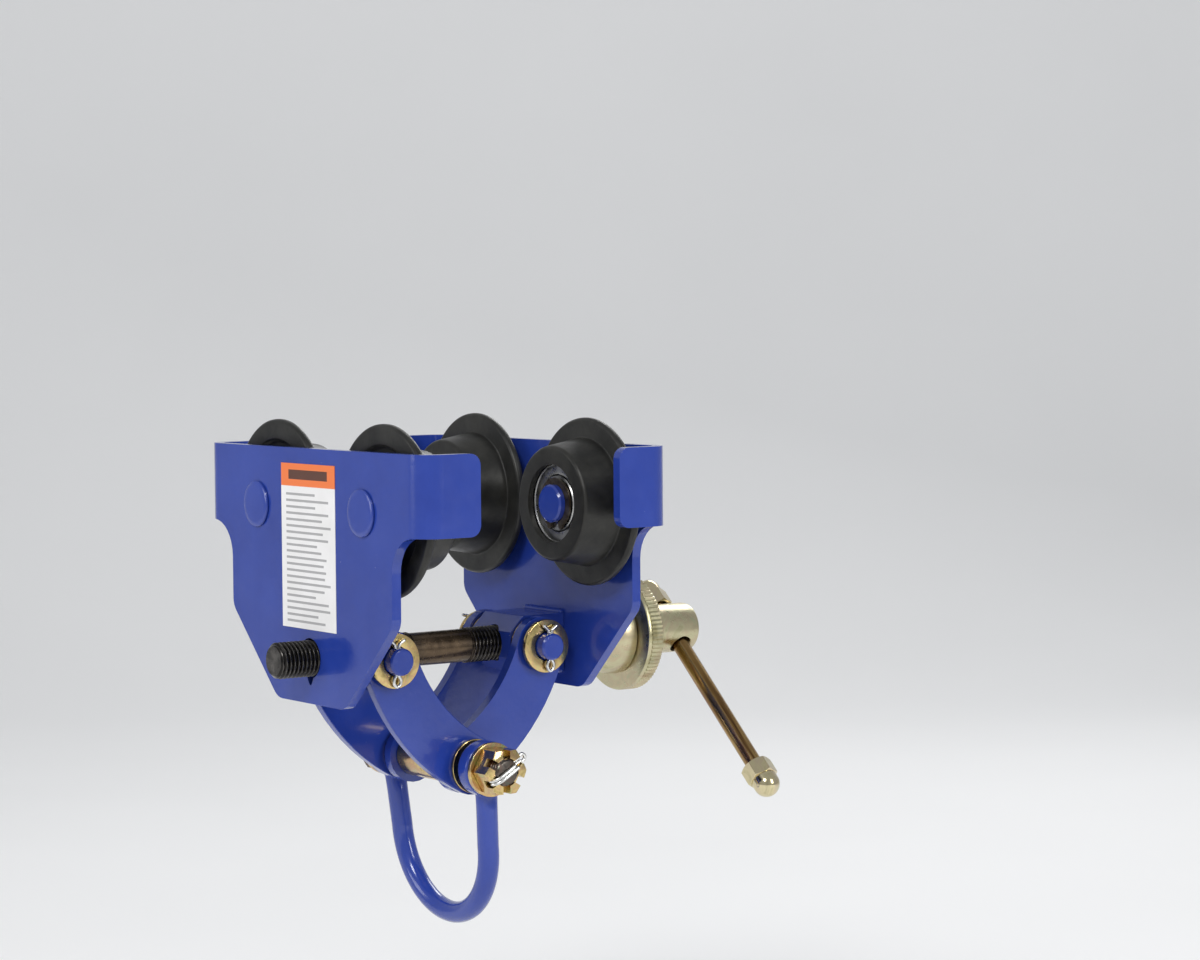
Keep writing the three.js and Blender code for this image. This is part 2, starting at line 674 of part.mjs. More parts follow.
// Its eye stands clear of the nut on one side. On the other side both legs turn out of their
// slot and fold back over the bolt's end.
function nutSplitPin() {
  const leg = NUT_PIN_LEG_OFFSET;
  const over = BOLT_END_X - NUT_PIN_X + NUT_PIN_WIRE_RADIUS + GAP;
  const route = [
    [over, 4.8, -leg],
    [over, 0, -leg],
    [over - 0.2, -4.6, -leg],
    [over - 1.8, -7.8, -leg],
    [0.6, -8.2, -leg],
    [0, -6, -leg],
    [0, 0, -leg],
    [0, 8.6, -leg],
    [0, 10.9, -1.7],
    [0, 12.8, 0],
    [0, 10.9, 1.7],
    [0, 8.6, leg],
    [0, 0, leg],
    [0, -6, leg],
    [0.6, -8.2, leg],
    [over - 1.8, -7.8, leg],
    [over - 0.2, -4.6, leg],
    [over, 0, leg],
    [over, 3.6, leg],
  ];
  const body = wire(route, NUT_PIN_WIRE_RADIUS, 4, 44).rotate([NUT_PIN_TURN, 0, 0]);
  return piece("nut_split_pin", BRIGHT_WIRE, body.translate([NUT_PIN_X, 0, 0]));
}

function boltGroup() {
  const group = new THREE.Group();
  const tube = ringAlongX(BORE, SPACER_RADIUS, -SPACER_HALF, SPACER_HALF, 28);
  group.add(
    loadBolt(),
    castleNut(),
    nutSplitPin(),
    piece("spacer_tube", YELLOW_ZINC, tube),
    boltWasher("middle_washer_right", STACK_WASHER, MIDDLE_WASHER_X),
    boltWasher("middle_washer_left", STACK_WASHER, -MIDDLE_WASHER_X - STACK_WASHER),
    boltWasher("side_washer_right", STACK_WASHER, OUTER_WASHER_X),
    boltWasher("side_washer_left", STACK_WASHER, -OUTER_WASHER_X - STACK_WASHER),
    boltWasher("head_washer", PIN_WASHER, HEAD_WASHER_X),
    boltWasher("nut_washer", PIN_WASHER, NUT_WASHER_X),
  );
  group.position.z = BOLT_HEIGHT;
  return group;
}

// ---------------------------------------------------------------- shackle
// Round bar bent to a U that narrows a little, with a flattened eye at the top of each leg.
function shackle() {
  const middle = (EYE_LEFT_X + EYE_RIGHT_X) / 2;
  const halfSpacing = (EYE_RIGHT_X - EYE_LEFT_X) / 2;
  const legTop = -EYE_RADIUS - GAP;
  const bowCentre = -SHACKLE_DROP + BOW_RADIUS;
  const route = new THREE.CurvePath();
  const start = new THREE.Vector3(halfSpacing, 0, legTop);
  const corner = new THREE.Vector3(BOW_RADIUS, 0, bowCentre);
  route.add(new THREE.LineCurve3(start, corner));
  const bowSteps = 18;
  let last = corner;
  for (let i = 1; i <= bowSteps; i += 1) {
    const turn = (-i * Math.PI) / bowSteps;
    const x = BOW_RADIUS * Math.cos(turn);
    const next = new THREE.Vector3(x, 0, bowCentre + BOW_RADIUS * Math.sin(turn));
    route.add(new THREE.LineCurve3(last, next));
    last = next;
  }
  route.add(new THREE.LineCurve3(last, new THREE.Vector3(-halfSpacing, 0, legTop)));
  const points = route.getSpacedPoints(40);
  const path = new THREE.CatmullRomCurve3(points);
  const section = new THREE.Shape().absarc(0, 0, SHACKLE_BAR, 0, 2 * Math.PI);
  let body = solid(
    new THREE.ExtrudeGeometry(section, {
      steps: 30,
      curveSegments: 6,
      bevelEnabled: false,
      extrudePath: path,
    }),
  );
  const neckOutline = roundedOutline([
    [-EYE_NECK_HALF_WIDTH, -BORE],
    [-EYE_NECK_HALF_WIDTH, -EYE_NECK_END, 3],
    [EYE_NECK_HALF_WIDTH, -EYE_NECK_END, 3],
    [EYE_NECK_HALF_WIDTH, -BORE],
  ]);
  for (const x of [-halfSpacing, halfSpacing]) {
    const from = x - EYE_THICKNESS / 2;
    const to = x + EYE_THICKNESS / 2;
    body = body.add(rodAlongX(EYE_RADIUS, from, to, 28)).add(alongX(neckOutline, from, to, 2));
  }
  const drill = rodAlongX(BORE, -2 * halfSpacing, 2 * halfSpacing, 28);
  const mesh = piece("shackle", BLUE_PAINT, body.subtract(drill).translate([middle, 0, 0]));
  mesh.position.z = BOLT_HEIGHT;
  mesh.rotation.x = SHACKLE_REST;
  return mesh;
}

// ---------------------------------------------------------------- spindle and hub
function spindle() {
  const body = turned(
    [
      [0, SCREW_FRONT_END],
      [SCREW_RADIUS - SCREW_CHAMFER, SCREW_FRONT_END],
      [SCREW_RADIUS, SCREW_FRONT_END + SCREW_CHAMFER],
      [SCREW_RADIUS, -SHANK_HALF - 0.8],
      [SHANK_RADIUS, -SHANK_HALF],
      [SHANK_RADIUS, SHANK_HALF],
      [SCREW_RADIUS, SHANK_HALF + 0.8],
      [SCREW_RADIUS, SCREW_REAR_END - SCREW_CHAMFER],
      [SCREW_RADIUS - SCREW_CHAMFER, SCREW_REAR_END],
      [0, SCREW_REAR_END],
    ],
    28,
  );
  return piece("spindle", BLACK_OXIDE, body.subtract(hubPinBlank(GAP)));
}

// Half-ball collar between the rear plate and the knob.
function domedCollar() {
  const back = KNOB_FRONT - GAP;
  const centre = back - DOME_RIM;
  const bore = SCREW_RADIUS + GAP;
  const profile = [
    [bore, back],
    [DOME_RADIUS, back],
  ];
  const arcSteps = 6;
  const lastAngle = Math.acos(bore / DOME_RADIUS);
  for (let i = 0; i <= arcSteps; i += 1) {
    const turn = (i * lastAngle) / arcSteps;
    profile.push([DOME_RADIUS * Math.cos(turn), centre - DOME_RADIUS * Math.sin(turn)]);
  }
  profile[profile.length - 1][0] = bore;
  return piece("domed_collar", YELLOW_ZINC, turned(profile, 28));
}

function hubPinBlank(clearance) {
  const reach = NECK_RADIUS - 0.5 + clearance;
  return rodAlongX(HUB_PIN_RADIUS + clearance, -reach, reach, 12).translate([0, HUB_PIN_PLACE, 0]);
}

// The frame of the tommy bar: X along the bar, origin on the hub's axis.
function alongBar(body) {
  return body.rotate([0, THREE.MathUtils.radToDeg(-BAR_SLOPE), 0]).translate([0, BAR_PLACE, 0]);
}

// Knurled flange and neck in one piece, bored for the spindle and cross-bored for the bar.
function knob() {
  const chamfer = 1;
  const blank = turned(
    [
      [SCREW_RADIUS + GAP, KNOB_FRONT],
      [KNOB_RADIUS - chamfer, KNOB_FRONT],
      [KNOB_RADIUS, KNOB_FRONT + chamfer],
      [KNOB_RADIUS, KNOB_FRONT + KNOB_WIDTH - chamfer],
      [KNOB_RADIUS - chamfer, KNOB_FRONT + KNOB_WIDTH],
      [NECK_RADIUS, KNOB_FRONT + KNOB_WIDTH],
      [NECK_RADIUS, NECK_END - chamfer],
      [NECK_RADIUS - chamfer, NECK_END],
      [SCREW_RADIUS + GAP, NECK_END],
    ],
    32,
  );
  const plug = rod(SCREW_RADIUS + 2 * GAP, SCREW_REAR_END + 1, NECK_END, 28);
  const crossHole = alongBar(rodAlongX(BAR_HOLE_RADIUS, -2 * NECK_RADIUS, 2 * NECK_RADIUS, 20));
  const pinHole = rodAlongX(HUB_PIN_RADIUS + GAP, -2 * NECK_RADIUS, 2 * NECK_RADIUS, 12);
  const body = blank
    .add(plug)
    .subtract(crossHole)
    .subtract(pinHole.translate([0, HUB_PIN_PLACE, 0]));
  return piece("knob", YELLOW_ZINC, body);
}

function tommyBar() {
  const grip = CAP_NUT_BORE_DEPTH - 1;
  const body = rodAlongX(BAR_RADIUS, -BAR_STOP - grip, BAR_REACH + grip, 20);
  return piece("tommy_bar", YELLOW_ZINC, alongBar(body));
}

// Hexagon with a round cap, bored blind for the end of the bar. The open face is at X = 0.
function capNutBlank() {
  const hex = alongX(hexagon(CAP_NUT_FLATS), 0, CAP_NUT_HEX, 1);
  const corner = CAP_NUT_FLATS / Math.sqrt(3);
  const bevelled = turnedAlongX(
    [
      [0, 0],
      [CAP_NUT_FLATS / 2, 0],
      [corner + GAP, 0.8],
      [corner + GAP, CAP_NUT_HEX - 0.8],
      [CAP_NUT_FLATS / 2, CAP_NUT_HEX],
      [0, CAP_NUT_HEX],
    ],
    12,
  );
  const capRadius = CAP_NUT_FLATS / 2 - 0.4;
  const capCentre = CAP_NUT_LENGTH - capRadius;
  const cap = [
    [0, CAP_NUT_HEX - 1],
    [capRadius, CAP_NUT_HEX - 1],
  ];
  const arcSteps = 4;
  for (let i = 0; i < arcSteps; i += 1) {
    const turn = (i * Math.PI) / 2 / arcSteps;
    cap.push([capRadius * Math.cos(turn), capCentre + capRadius * Math.sin(turn)]);
  }
  cap.push([0, CAP_NUT_LENGTH]);
  return hex
    .intersect(bevelled)
    .add(turnedAlongX(cap, 16))
    .subtract(rodAlongX(BAR_RADIUS + GAP, -OVERRUN, CAP_NUT_BORE_DEPTH, 16));
}

function capNut(name, reach, flip) {
  const blank = flip ? capNutBlank().rotate([0, 0, 180]) : capNutBlank();
  return piece(name, YELLOW_ZINC, alongBar(blank.translate([reach, 0, 0])));
}

function screwGroup() {
  const group = new THREE.Group();
  group.add(
    spindle(),
    domedCollar(),
    knob(),
    piece("hub_pin", BLACK_OXIDE, hubPinBlank(0)),
    tommyBar(),
    capNut("cap_nut_lower", BAR_REACH, false),
    capNut("cap_nut_upper", -BAR_STOP, true),
  );
  group.position.z = SCREW_HEIGHT;
  return group;
}

// ---------------------------------------------------------------- label
function label() {
  const height = LABEL_TOP - LABEL_BOTTOM;
  const sheet = new THREE.BoxGeometry(LABEL_WIDTH, LABEL_THICKNESS, height);
  const mesh = piece("label", STICKER, solid(sheet));
  const middle = (LABEL_TOP + LABEL_BOTTOM) / 2;
  mesh.position.set(0, -PLATE_FACE - LABEL_LIFT - LABEL_THICKNESS / 2, middle);
  return mesh;
}

// ---------------------------------------------------------------- assembly
// One side of the trolley, drawn as the front side. The hands name its -X and +X ends: left and
// right stay as a person facing the front plate sees them, on the rear side too.
function sideAssembly(side, armX, hands) {
  const group = new THREE.Group();
  group.add(
    sidePlate(side),
    wheelUnit(side, hands[0], -WHEELBASE / 2),
    wheelUnit(side, hands[1], WHEELBASE / 2),
    trunnion(side, armX, hands),
    armPair(side, armX, hands),
  );
  return group;
}

const group = new THREE.Group();
const front = sideAssembly("front", FRONT_ARM_X, ["left", "right"]);
const rear = sideAssembly("rear", REAR_ARM_X, ["right", "left"]);
rear.rotation.z = Math.PI; // the rear side is the front side turned round
group.add(front, rear, boltGroup(), shackle(), screwGroup(), label());

export default group;
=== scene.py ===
"""Beam trolley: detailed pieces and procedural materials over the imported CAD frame.

Metres. X runs along the beam, Y across its flange with the front plate at -Y, Z is up.
"""

import json
import math
import random

import bmesh
import bpy
from mathutils import Matrix, Vector


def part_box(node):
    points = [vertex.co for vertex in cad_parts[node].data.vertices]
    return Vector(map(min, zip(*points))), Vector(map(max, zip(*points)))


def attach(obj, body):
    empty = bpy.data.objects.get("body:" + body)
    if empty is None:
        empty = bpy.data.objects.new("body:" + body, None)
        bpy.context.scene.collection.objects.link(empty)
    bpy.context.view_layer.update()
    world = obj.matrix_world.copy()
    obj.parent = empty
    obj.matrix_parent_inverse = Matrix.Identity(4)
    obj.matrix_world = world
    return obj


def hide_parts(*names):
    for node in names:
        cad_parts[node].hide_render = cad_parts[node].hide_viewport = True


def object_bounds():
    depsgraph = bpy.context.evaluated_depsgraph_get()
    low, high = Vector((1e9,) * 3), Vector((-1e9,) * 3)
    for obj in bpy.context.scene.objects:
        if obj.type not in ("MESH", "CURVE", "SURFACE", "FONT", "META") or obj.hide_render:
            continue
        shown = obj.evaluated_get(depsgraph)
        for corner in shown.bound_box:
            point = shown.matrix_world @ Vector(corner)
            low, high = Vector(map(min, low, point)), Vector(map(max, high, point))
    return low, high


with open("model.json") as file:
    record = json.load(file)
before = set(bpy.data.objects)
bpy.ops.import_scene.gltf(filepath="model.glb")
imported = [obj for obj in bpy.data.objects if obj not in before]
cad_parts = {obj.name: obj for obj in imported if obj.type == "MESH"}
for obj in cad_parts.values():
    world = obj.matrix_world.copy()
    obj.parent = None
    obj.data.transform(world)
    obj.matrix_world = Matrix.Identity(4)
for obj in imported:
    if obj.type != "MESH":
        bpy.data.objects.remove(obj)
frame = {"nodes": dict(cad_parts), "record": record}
cad_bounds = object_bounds()
nodes = frame["nodes"]

MM = 0.001
SIDES = ("front", "rear")
HANDS = ("left", "right")
X_AXIS = Vector((1, 0, 0))
Y_AXIS = Vector((0, 1, 0))
SHEET = 4.5 * MM  # thickness of a side plate
CLEARANCE = 0.3 * MM  # between neighbouring pieces
STACK_GAP = 0.2 * MM  # between the pieces on the load bolt
THREAD_BORE = 8.3 * MM  # radius that clears the spindle
SHACKLE_REST = math.radians(5)  # hangs this far to the rear
SPLAYED_PIN = "rear_split_pin_left"  # the split pin with one long stray leg


# ---- places read from the frame
def low(node):
    return Vector(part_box(node)[0])


def high(node):
    return Vector(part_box(node)[1])


def middle(node):
    return (low(node) + high(node)) / 2


def size(node):
    return high(node) - low(node)


def outward(side):
    """The way across the beam that a side faces: -1 for the front, 1 for the rear."""
    return -1 if side == "front" else 1


def reach_out(node):
    """How near to and how far from the beam's middle a node reaches, across the beam."""
    return sorted((abs(low(node).y), abs(high(node).y)))


def on_y_line(node):
    """Where the line along Y through a node's middle crosses the beam's middle."""
    centre = middle(node)
    return Vector((centre.x, 0, centre.z))


# ---- mesh helpers
def mesh_object(name, verts, faces, smooth_angle=35):
    """A new mesh object, smooth except at edges sharper than smooth_angle degrees."""
    mesh = bpy.data.meshes.new(name)
    mesh.from_pydata([tuple(v) for v in verts], [], faces)
    mesh.validate()
    work = bmesh.new()
    work.from_mesh(mesh)
    bmesh.ops.recalc_face_normals(work, faces=work.faces)
    work.to_mesh(mesh)
    work.free()
    obj = bpy.data.objects.new(name, mesh)
    bpy.context.scene.collection.objects.link(obj)
    shade(obj, smooth_angle)
    return obj


def shade(obj, smooth_angle):
    """Smooth shading with sharp edges marked where two faces turn by more than the angle."""
    mesh = obj.data
    work = bmesh.new()
    work.from_mesh(mesh)
    limit = math.radians(smooth_angle)
    for face in work.faces:
        face.smooth = True
    for edge in work.edges:
        if len(edge.link_faces) == 2:
            edge.smooth = edge.calc_face_angle(0) < limit
    work.to_mesh(mesh)
    work.free()


def apply_modifiers(obj):
    """Turns the object's modifiers into plain mesh."""
    bpy.context.view_layer.update()
    graph = bpy.context.evaluated_depsgraph_get()
    made = bpy.data.meshes.new_from_object(obj.evaluated_get(graph))
    obj.modifiers.clear()
    obj.data = made


def rounded(profile, radius, steps):
    """A profile of (radius, height) corners with every corner but the first and last rounded."""
    out = [profile[0]]
    for before, corner, after in zip(profile, profile[1:], profile[2:]):
        corner_v = Vector(corner)
        back = Vector(before) - corner_v
        ahead = Vector(after) - corner_v
        reach = min(radius, back.length / 2.2, ahead.length / 2.2)
        start = corner_v + back.normalized() * reach
        end = corner_v + ahead.normalized() * reach
        for i in range(steps + 1):
            t = i / steps
            out.append(start * (1 - t) ** 2 + corner_v * 2 * t * (1 - t) + end * t**2)
    out.append(profile[-1])
    return [tuple(point) for point in out]


def lathe(name, profile, axis, origin, segments=96, closed=False, smooth_angle=35, wobble=None):
    """A solid of revolution. profile is (radius, distance along the axis), both in metres.
    wobble(angle, radius, along) may change a point's radius, for knurls and threads."""
    turn = Vector((0, 0, 1)).rotation_difference(Vector(axis)).to_matrix()
    verts, faces, rings = [], [], []
    for radius, along in profile:
        if radius < 1e-7:
            rings.append([len(verts)])
            verts.append(turn @ Vector((0, 0, along)) + origin)
            continue
        ring = []
        for i in range(segments):
            angle = 2 * math.pi * i / segments
            here = wobble(angle, radius, along) if wobble else radius
            ring.append(len(verts))
            point = Vector((here * math.cos(angle), here * math.sin(angle), along))
            verts.append(turn @ point + origin)
        rings.append(ring)
    pairs = list(zip(rings, rings[1:])) + ([(rings[-1], rings[0])] if closed else [])
    for a, b in pairs:
        for i in range(segments):
            j = (i + 1) % segments
            if len(a) == 1:
                faces.append((a[0], b[i], b[j]))
            elif len(b) == 1:
                faces.append((a[i], b[0], a[j]))
            else:
                faces.append((a[i], b[i], b[j], a[j]))
    return mesh_object(name, verts, faces, smooth_angle)


def tangents_along(points):
    """The way a line of points runs at each of them."""
    ahead = points[1:] + points[-1:]
    behind = points[:1] + points[:-1]
    return [(after - before).normalized() for before, after in zip(behind, ahead)]


def tube_faces(count, sides):
    """Faces of a closed tube whose rings of vertices follow one another."""
    faces = []
    for ring in range(count - 1):
        a, b = ring * sides, (ring + 1) * sides
        for i in range(sides):
            j = (i + 1) % sides
            faces.append((a + i, a + j, b + j, b + i))
    faces.append(tuple(range(sides))[::-1])
    faces.append(tuple(range((count - 1) * sides, count * sides)))
    return faces


def sweep(name, points, radius, sides):
    """A round tube along a list of points, with half-round ends."""
    tangents = tangents_along(points)
    normal = tangents[0].orthogonal().normalized()
    frames = []
    for tangent in tangents:
        normal = (normal - tangent * normal.dot(tangent)).normalized()
        frames.append((normal.copy(), tangent.cross(normal)))
    stations = [(p, f, radius) for p, f in zip(points, frames)]
    cap_steps = 3
    tip = radius * 0.05
    first, last = [], []
    for i in range(cap_steps):
        turn = math.pi / 2 * i / cap_steps
        reach = radius * math.sin(math.pi / 2 - turn)
        small = radius * math.cos(math.pi / 2 - turn)
        first.append((points[0] - tangents[0] * reach, frames[0], max(small, tip)))
        last.append((points[-1] + tangents[-1] * reach, frames[-1], max(small, tip)))
    stations = first + stations + last[::-1]
    verts = []
    for centre, (u, v), r in stations:
        for i in range(sides):
            angle = 2 * math.pi * i / sides
            verts.append(centre + u * r * math.cos(angle) + v * r * math.sin(angle))
    return mesh_object(name, verts, tube_faces(len(stations), sides), 60)


def smooth_route(points, steps):
    """Points on a Catmull-Rom curve through the given ones."""
    points = [Vector(p) for p in points]
    out = []
    for i in range(len(points) - 1):
        p0 = points[max(i - 1, 0)]
        p1, p2 = points[i], points[i + 1]
        p3 = points[min(i + 2, len(points) - 1)]
        for k in range(steps):
            t = k / steps
            square = (2 * p0 - 5 * p1 + 4 * p2 - p3) * t**2
            cube = (3 * p1 - p0 - 3 * p2 + p3) * t**3
            out.append((2 * p1 + (p2 - p0) * t + square + cube) / 2)
    out.append(points[-1])
    return out


def boolean(obj, cutter, operation):
    """Joins or cuts obj with cutter, which is then thrown away."""
    step = obj.modifiers.new(operation, "BOOLEAN")
    step.operation = operation
    step.object = cutter
    step.solver = "EXACT"
    apply_modifiers(obj)
    bpy.data.objects.remove(cutter)
    return obj


def drill(obj, radius, start, end, axis, origin, segments):
    """Cuts a plain round hole through obj, from start to end along the axis."""
    hole = [(0, start), (radius, start), (radius, end), (0, end)]
    boolean(obj, lathe("hole", hole, axis, origin, segments=segments), "DIFFERENCE")


def bevel(obj, width, segments=3, angle=40):
    """Rounds the edges that are sharper than the angle."""
    step = obj.modifiers.new("edges", "BEVEL")
    step.width = width
    step.segments = segments
    step.limit_method = "ANGLE"
    step.angle_limit = math.radians(angle)
    step.use_clamp_overlap = True
    step.harden_normals = False


def prism(name, outline, axis, origin, start, end):
    """A straight prism: outline is (u, v) points about the axis, from start to end along it."""
    turn = Vector((0, 0, 1)).rotation_difference(Vector(axis)).to_matrix()
    count = len(outline)
    verts = []
    for along in (start, end):
        verts += [turn @ Vector((u, v, along)) + origin for u, v in outline]
    faces = [tuple(range(count))[::-1], tuple(range(count, 2 * count))]
    for i in range(count):
        j = (i + 1) % count
        faces.append((i, j, j + count, i + count))
    return mesh_object(name, verts, faces)


# ---- material helpers
class Nodes:
    """A material's node tree, with short calls for the nodes used here."""

    def __init__(self, name):
        self.material = bpy.data.materials.new(name)
        self.material.use_nodes = True
        self.tree = self.material.node_tree
        self.shader = self.tree.nodes["Principled BSDF"]
        self.place = self.tree.nodes.new("ShaderNodeTexCoord").outputs["Object"]

    def link(self, out, into):
        self.tree.links.new(out, into)

    def noise(self, scale, detail=4, roughness=0.5, distortion=0, stretch=(1, 1, 1)):
        node = self.tree.nodes.new("ShaderNodeTexNoise")
        node.inputs["Scale"].default_value = scale
        node.inputs["Detail"].default_value = detail
        node.inputs["Roughness"].default_value = roughness
        node.inputs["Distortion"].default_value = distortion
        self.link(self.stretched(stretch), node.inputs["Vector"])
        return node.outputs["Fac"]

    def stretched(self, stretch):
        if stretch == (1, 1, 1):
            return self.place
        node = self.tree.nodes.new("ShaderNodeMapping")
        node.inputs["Scale"].default_value = stretch
        self.link(self.place, node.inputs["Vector"])
        return node.outputs["Vector"]

    def cells(self, scale):
        """Distance to the nearest of scattered points, for chips."""
        node = self.tree.nodes.new("ShaderNodeTexVoronoi")
        node.inputs["Scale"].default_value = scale
        self.link(self.place, node.inputs["Vector"])
        return node.outputs["Distance"]

    def ramp(self, value, *stops):
        """stops are (position, colour) with a colour as (r, g, b) or one grey number."""
        node = self.tree.nodes.new("ShaderNodeValToRGB")
        points = node.color_ramp.elements
        while len(points) < len(stops):
            points.new(0.5)
        for point, (position, colour) in zip(points, stops):
            point.position = position
            grey = isinstance(colour, (int, float))
            point.color = (colour, colour, colour, 1) if grey else (*colour, 1)
        self.link(value, node.inputs["Fac"])
        return node.outputs["Color"]

    def mix(self, factor, a, b):
        node = self.tree.nodes.new("ShaderNodeMix")
        node.data_type = "RGBA"
        for value, socket in ((factor, 0), (a, 6), (b, 7)):
            if isinstance(value, (int, float)):
                node.inputs[socket].default_value = value
            elif isinstance(value, tuple):
                node.inputs[socket].default_value = (*value, 1)
            else:
                self.link(value, node.inputs[socket])
        return node.outputs[2]

    def maths(self, operation, a, b=0.0):
        node = self.tree.nodes.new("ShaderNodeMath")
        node.operation = operation
        for i, value in enumerate((a, b)):
            if isinstance(value, (int, float)):
                node.inputs[i].default_value = value
            else:
                self.link(value, node.inputs[i])
        return node.outputs[0]

    def within(self, value, lowest, highest):
        """1 where the value lies between the two limits, 0 elsewhere."""
        above = self.maths("GREATER_THAN", value, lowest)
        return self.maths("MULTIPLY", above, self.maths("LESS_THAN", value, highest))

    def share_along(self, letter, start, length):
        """0 at start and 1 a length further along one of the object's own axes."""
        split = self.tree.nodes.new("ShaderNodeSeparateXYZ")
        self.link(self.place, split.inputs[0])
        return self.maths("DIVIDE", self.maths("SUBTRACT", split.outputs[letter], start), length)

    def bump(self, height, distance, strength=1.0, under=None):
        node = self.tree.nodes.new("ShaderNodeBump")
        node.inputs["Distance"].default_value = distance
        node.inputs["Strength"].default_value = strength
        self.link(height, node.inputs["Height"])
        if under is not None:
            self.link(under, node.inputs["Normal"])
        return node.outputs["Normal"]

    def edges(self, lowest, highest):
        """1 on outward edges, 0 elsewhere, from the mesh's own pointiness."""
        node = self.tree.nodes.new("ShaderNodeNewGeometry")
        return self.ramp(node.outputs["Pointiness"], (lowest, 0), (highest, 1))

    def set(self, **values):
        names = {
            "color": "Base Color",
            "metal": "Metallic",
            "rough": "Roughness",
            "normal": "Normal",
            "coat": "Coat Weight",
            "coat_rough": "Coat Roughness",
        }
        for key, value in values.items():
            socket = self.shader.inputs[names[key]]
            if isinstance(value, (int, float)):
                socket.default_value = value
            elif isinstance(value, tuple):
                socket.default_value = (*value, 1)
            else:
                self.link(value, socket)
        return self.material


def blue_paint():
    """Thick gloss enamel: orange peel, uneven depth of colour, runs and small pale chips."""
    m = Nodes("blue_paint")
    depth = m.noise(24, detail=5, roughness=0.6)
    body = m.ramp(depth, (0.3, (0.014, 0.039, 0.270)), (0.7, (0.024, 0.057, 0.345)))
    specks = m.cells(260)
    spread = m.noise(38, detail=4)
    chip_spot = m.ramp(specks, (0.0, 1), (0.05, 0))
    chip = m.maths("MULTIPLY", chip_spot, m.ramp(spread, (0.60, 0), (0.64, 1)))
    color = m.mix(chip, body, (0.66, 0.68, 0.72))
    peel = m.bump(m.noise(520, detail=2), 0.00012, 0.4)
    waves = m.bump(m.noise(60, detail=3), 0.0007, 0.35, under=peel)
    rough = m.ramp(m.noise(110, detail=5), (0.3, 0.13), (0.75, 0.26))
    return m.set(color=color, rough=rough, normal=waves, coat=0.3, coat_rough=0.06)


def yellow_zinc(name, pale, deep, rose, green, rough=(0.2, 0.4), blotch=150):
    """Yellow-passivated zinc: a gold film that drifts to rose and green, over fine scratches."""
    m = Nodes(name)
    drift = m.noise(blotch, detail=5, roughness=0.65, distortion=1.2)
    film = m.ramp(drift, (0.30, deep), (0.44, pale), (0.54, rose), (0.66, green), (0.78, pale))
    soft = m.noise(blotch * 0.35, detail=3)
    color = m.mix(m.ramp(soft, (0.35, 0.0), (0.65, 0.50)), film, pale)
    scratches = m.noise(1100, detail=3)
    worn = m.bump(scratches, 0.00004, 0.35)
    dents = m.bump(m.noise(210, detail=3), 0.00022, 0.35, under=worn)
    gloss = m.ramp(m.noise(170, detail=4), (0.3, rough[0]), (0.75, rough[1]))
    return m.set(color=color, metal=1.0, rough=gloss, normal=dents)


def drawn_bar():
    """Drawn bar under a brown-gold film that is streaked along its length."""
    m = Nodes("bar_zinc")
    along = middle("cap_nut_lower") - middle("cap_nut_upper")
    tilt = math.atan2(along.z, along.x)
    node = m.tree.nodes.new("ShaderNodeMapping")
    node.inputs["Rotation"].default_value = (0, tilt, 0)
    m.link(m.place, node.inputs["Vector"])
    m.place = node.outputs["Vector"]
    streak = m.noise(420, detail=4, roughness=0.6, stretch=(0.05, 1, 1))
    film = m.ramp(
        streak,
        (0.30, (0.075, 0.036, 0.018)),
        (0.45, (0.30, 0.175, 0.060)),
        (0.56, (0.46, 0.32, 0.13)),
        (0.66, (0.24, 0.105, 0.065)),
        (0.80, (0.52, 0.40, 0.20)),
    )
    patch = m.noise(60, detail=3)
    color = m.mix(m.ramp(patch, (0.4, 0.0), (0.7, 0.55)), film, (0.20, 0.105, 0.045))
    gloss = m.ramp(m.noise(300, detail=3, stretch=(0.1, 1, 1)), (0.3, 0.16), (0.7, 0.30))
    return m.set(color=color, metal=1.0, rough=gloss, normal=m.bump(streak, 0.00003, 0.4))


def black_wheel():
    """Satin black casting with turned rings and a faint dusty film."""
    m = Nodes("wheel_black")
    dust = m.noise(70, detail=5, roughness=0.6)
    color = m.ramp(dust, (0.35, (0.012, 0.012, 0.011)), (0.75, (0.040, 0.039, 0.034)))
    normal = m.bump(m.noise(700, detail=3), 0.00008, 0.5)
    rough = m.ramp(m.noise(120, detail=4), (0.3, 0.32), (0.75, 0.52))
    return m.set(color=color, metal=0.35, rough=rough, normal=normal)


def bearing_steel():
    """Ground steel with a light film of grease."""
    m = Nodes("bearing_steel")
    film = m.noise(140, detail=4)
    color = m.ramp(film, (0.35, (0.34, 0.34, 0.33)), (0.7, (0.56, 0.56, 0.55)))
    rough = m.ramp(m.noise(260, detail=3), (0.3, 0.2), (0.7, 0.42))
    return m.set(color=color, metal=1.0, rough=rough, normal=m.bump(film, 0.00003, 0.4))


def black_oxide():
    """Oiled black oxide, brown where the oil has dried and bright where it has rubbed."""
    m = Nodes("black_oxide")
    oil = m.noise(60, detail=5, roughness=0.65)
    body = m.ramp(
        oil,
        (0.3, (0.030, 0.024, 0.019)),
        (0.55, (0.075, 0.055, 0.038)),
        (0.8, (0.140, 0.098, 0.060)),
    )
    worn = m.maths("MULTIPLY", m.edges(0.52, 0.60), m.ramp(m.noise(300), (0.4, 0), (0.7, 1)))
    color = m.mix(worn, body, (0.26, 0.24, 0.22))
    rough = m.ramp(m.noise(220, detail=4), (0.3, 0.24), (0.75, 0.46))
    return m.set(color=color, metal=0.8, rough=rough, normal=m.bump(m.noise(900), 0.00005, 0.4))


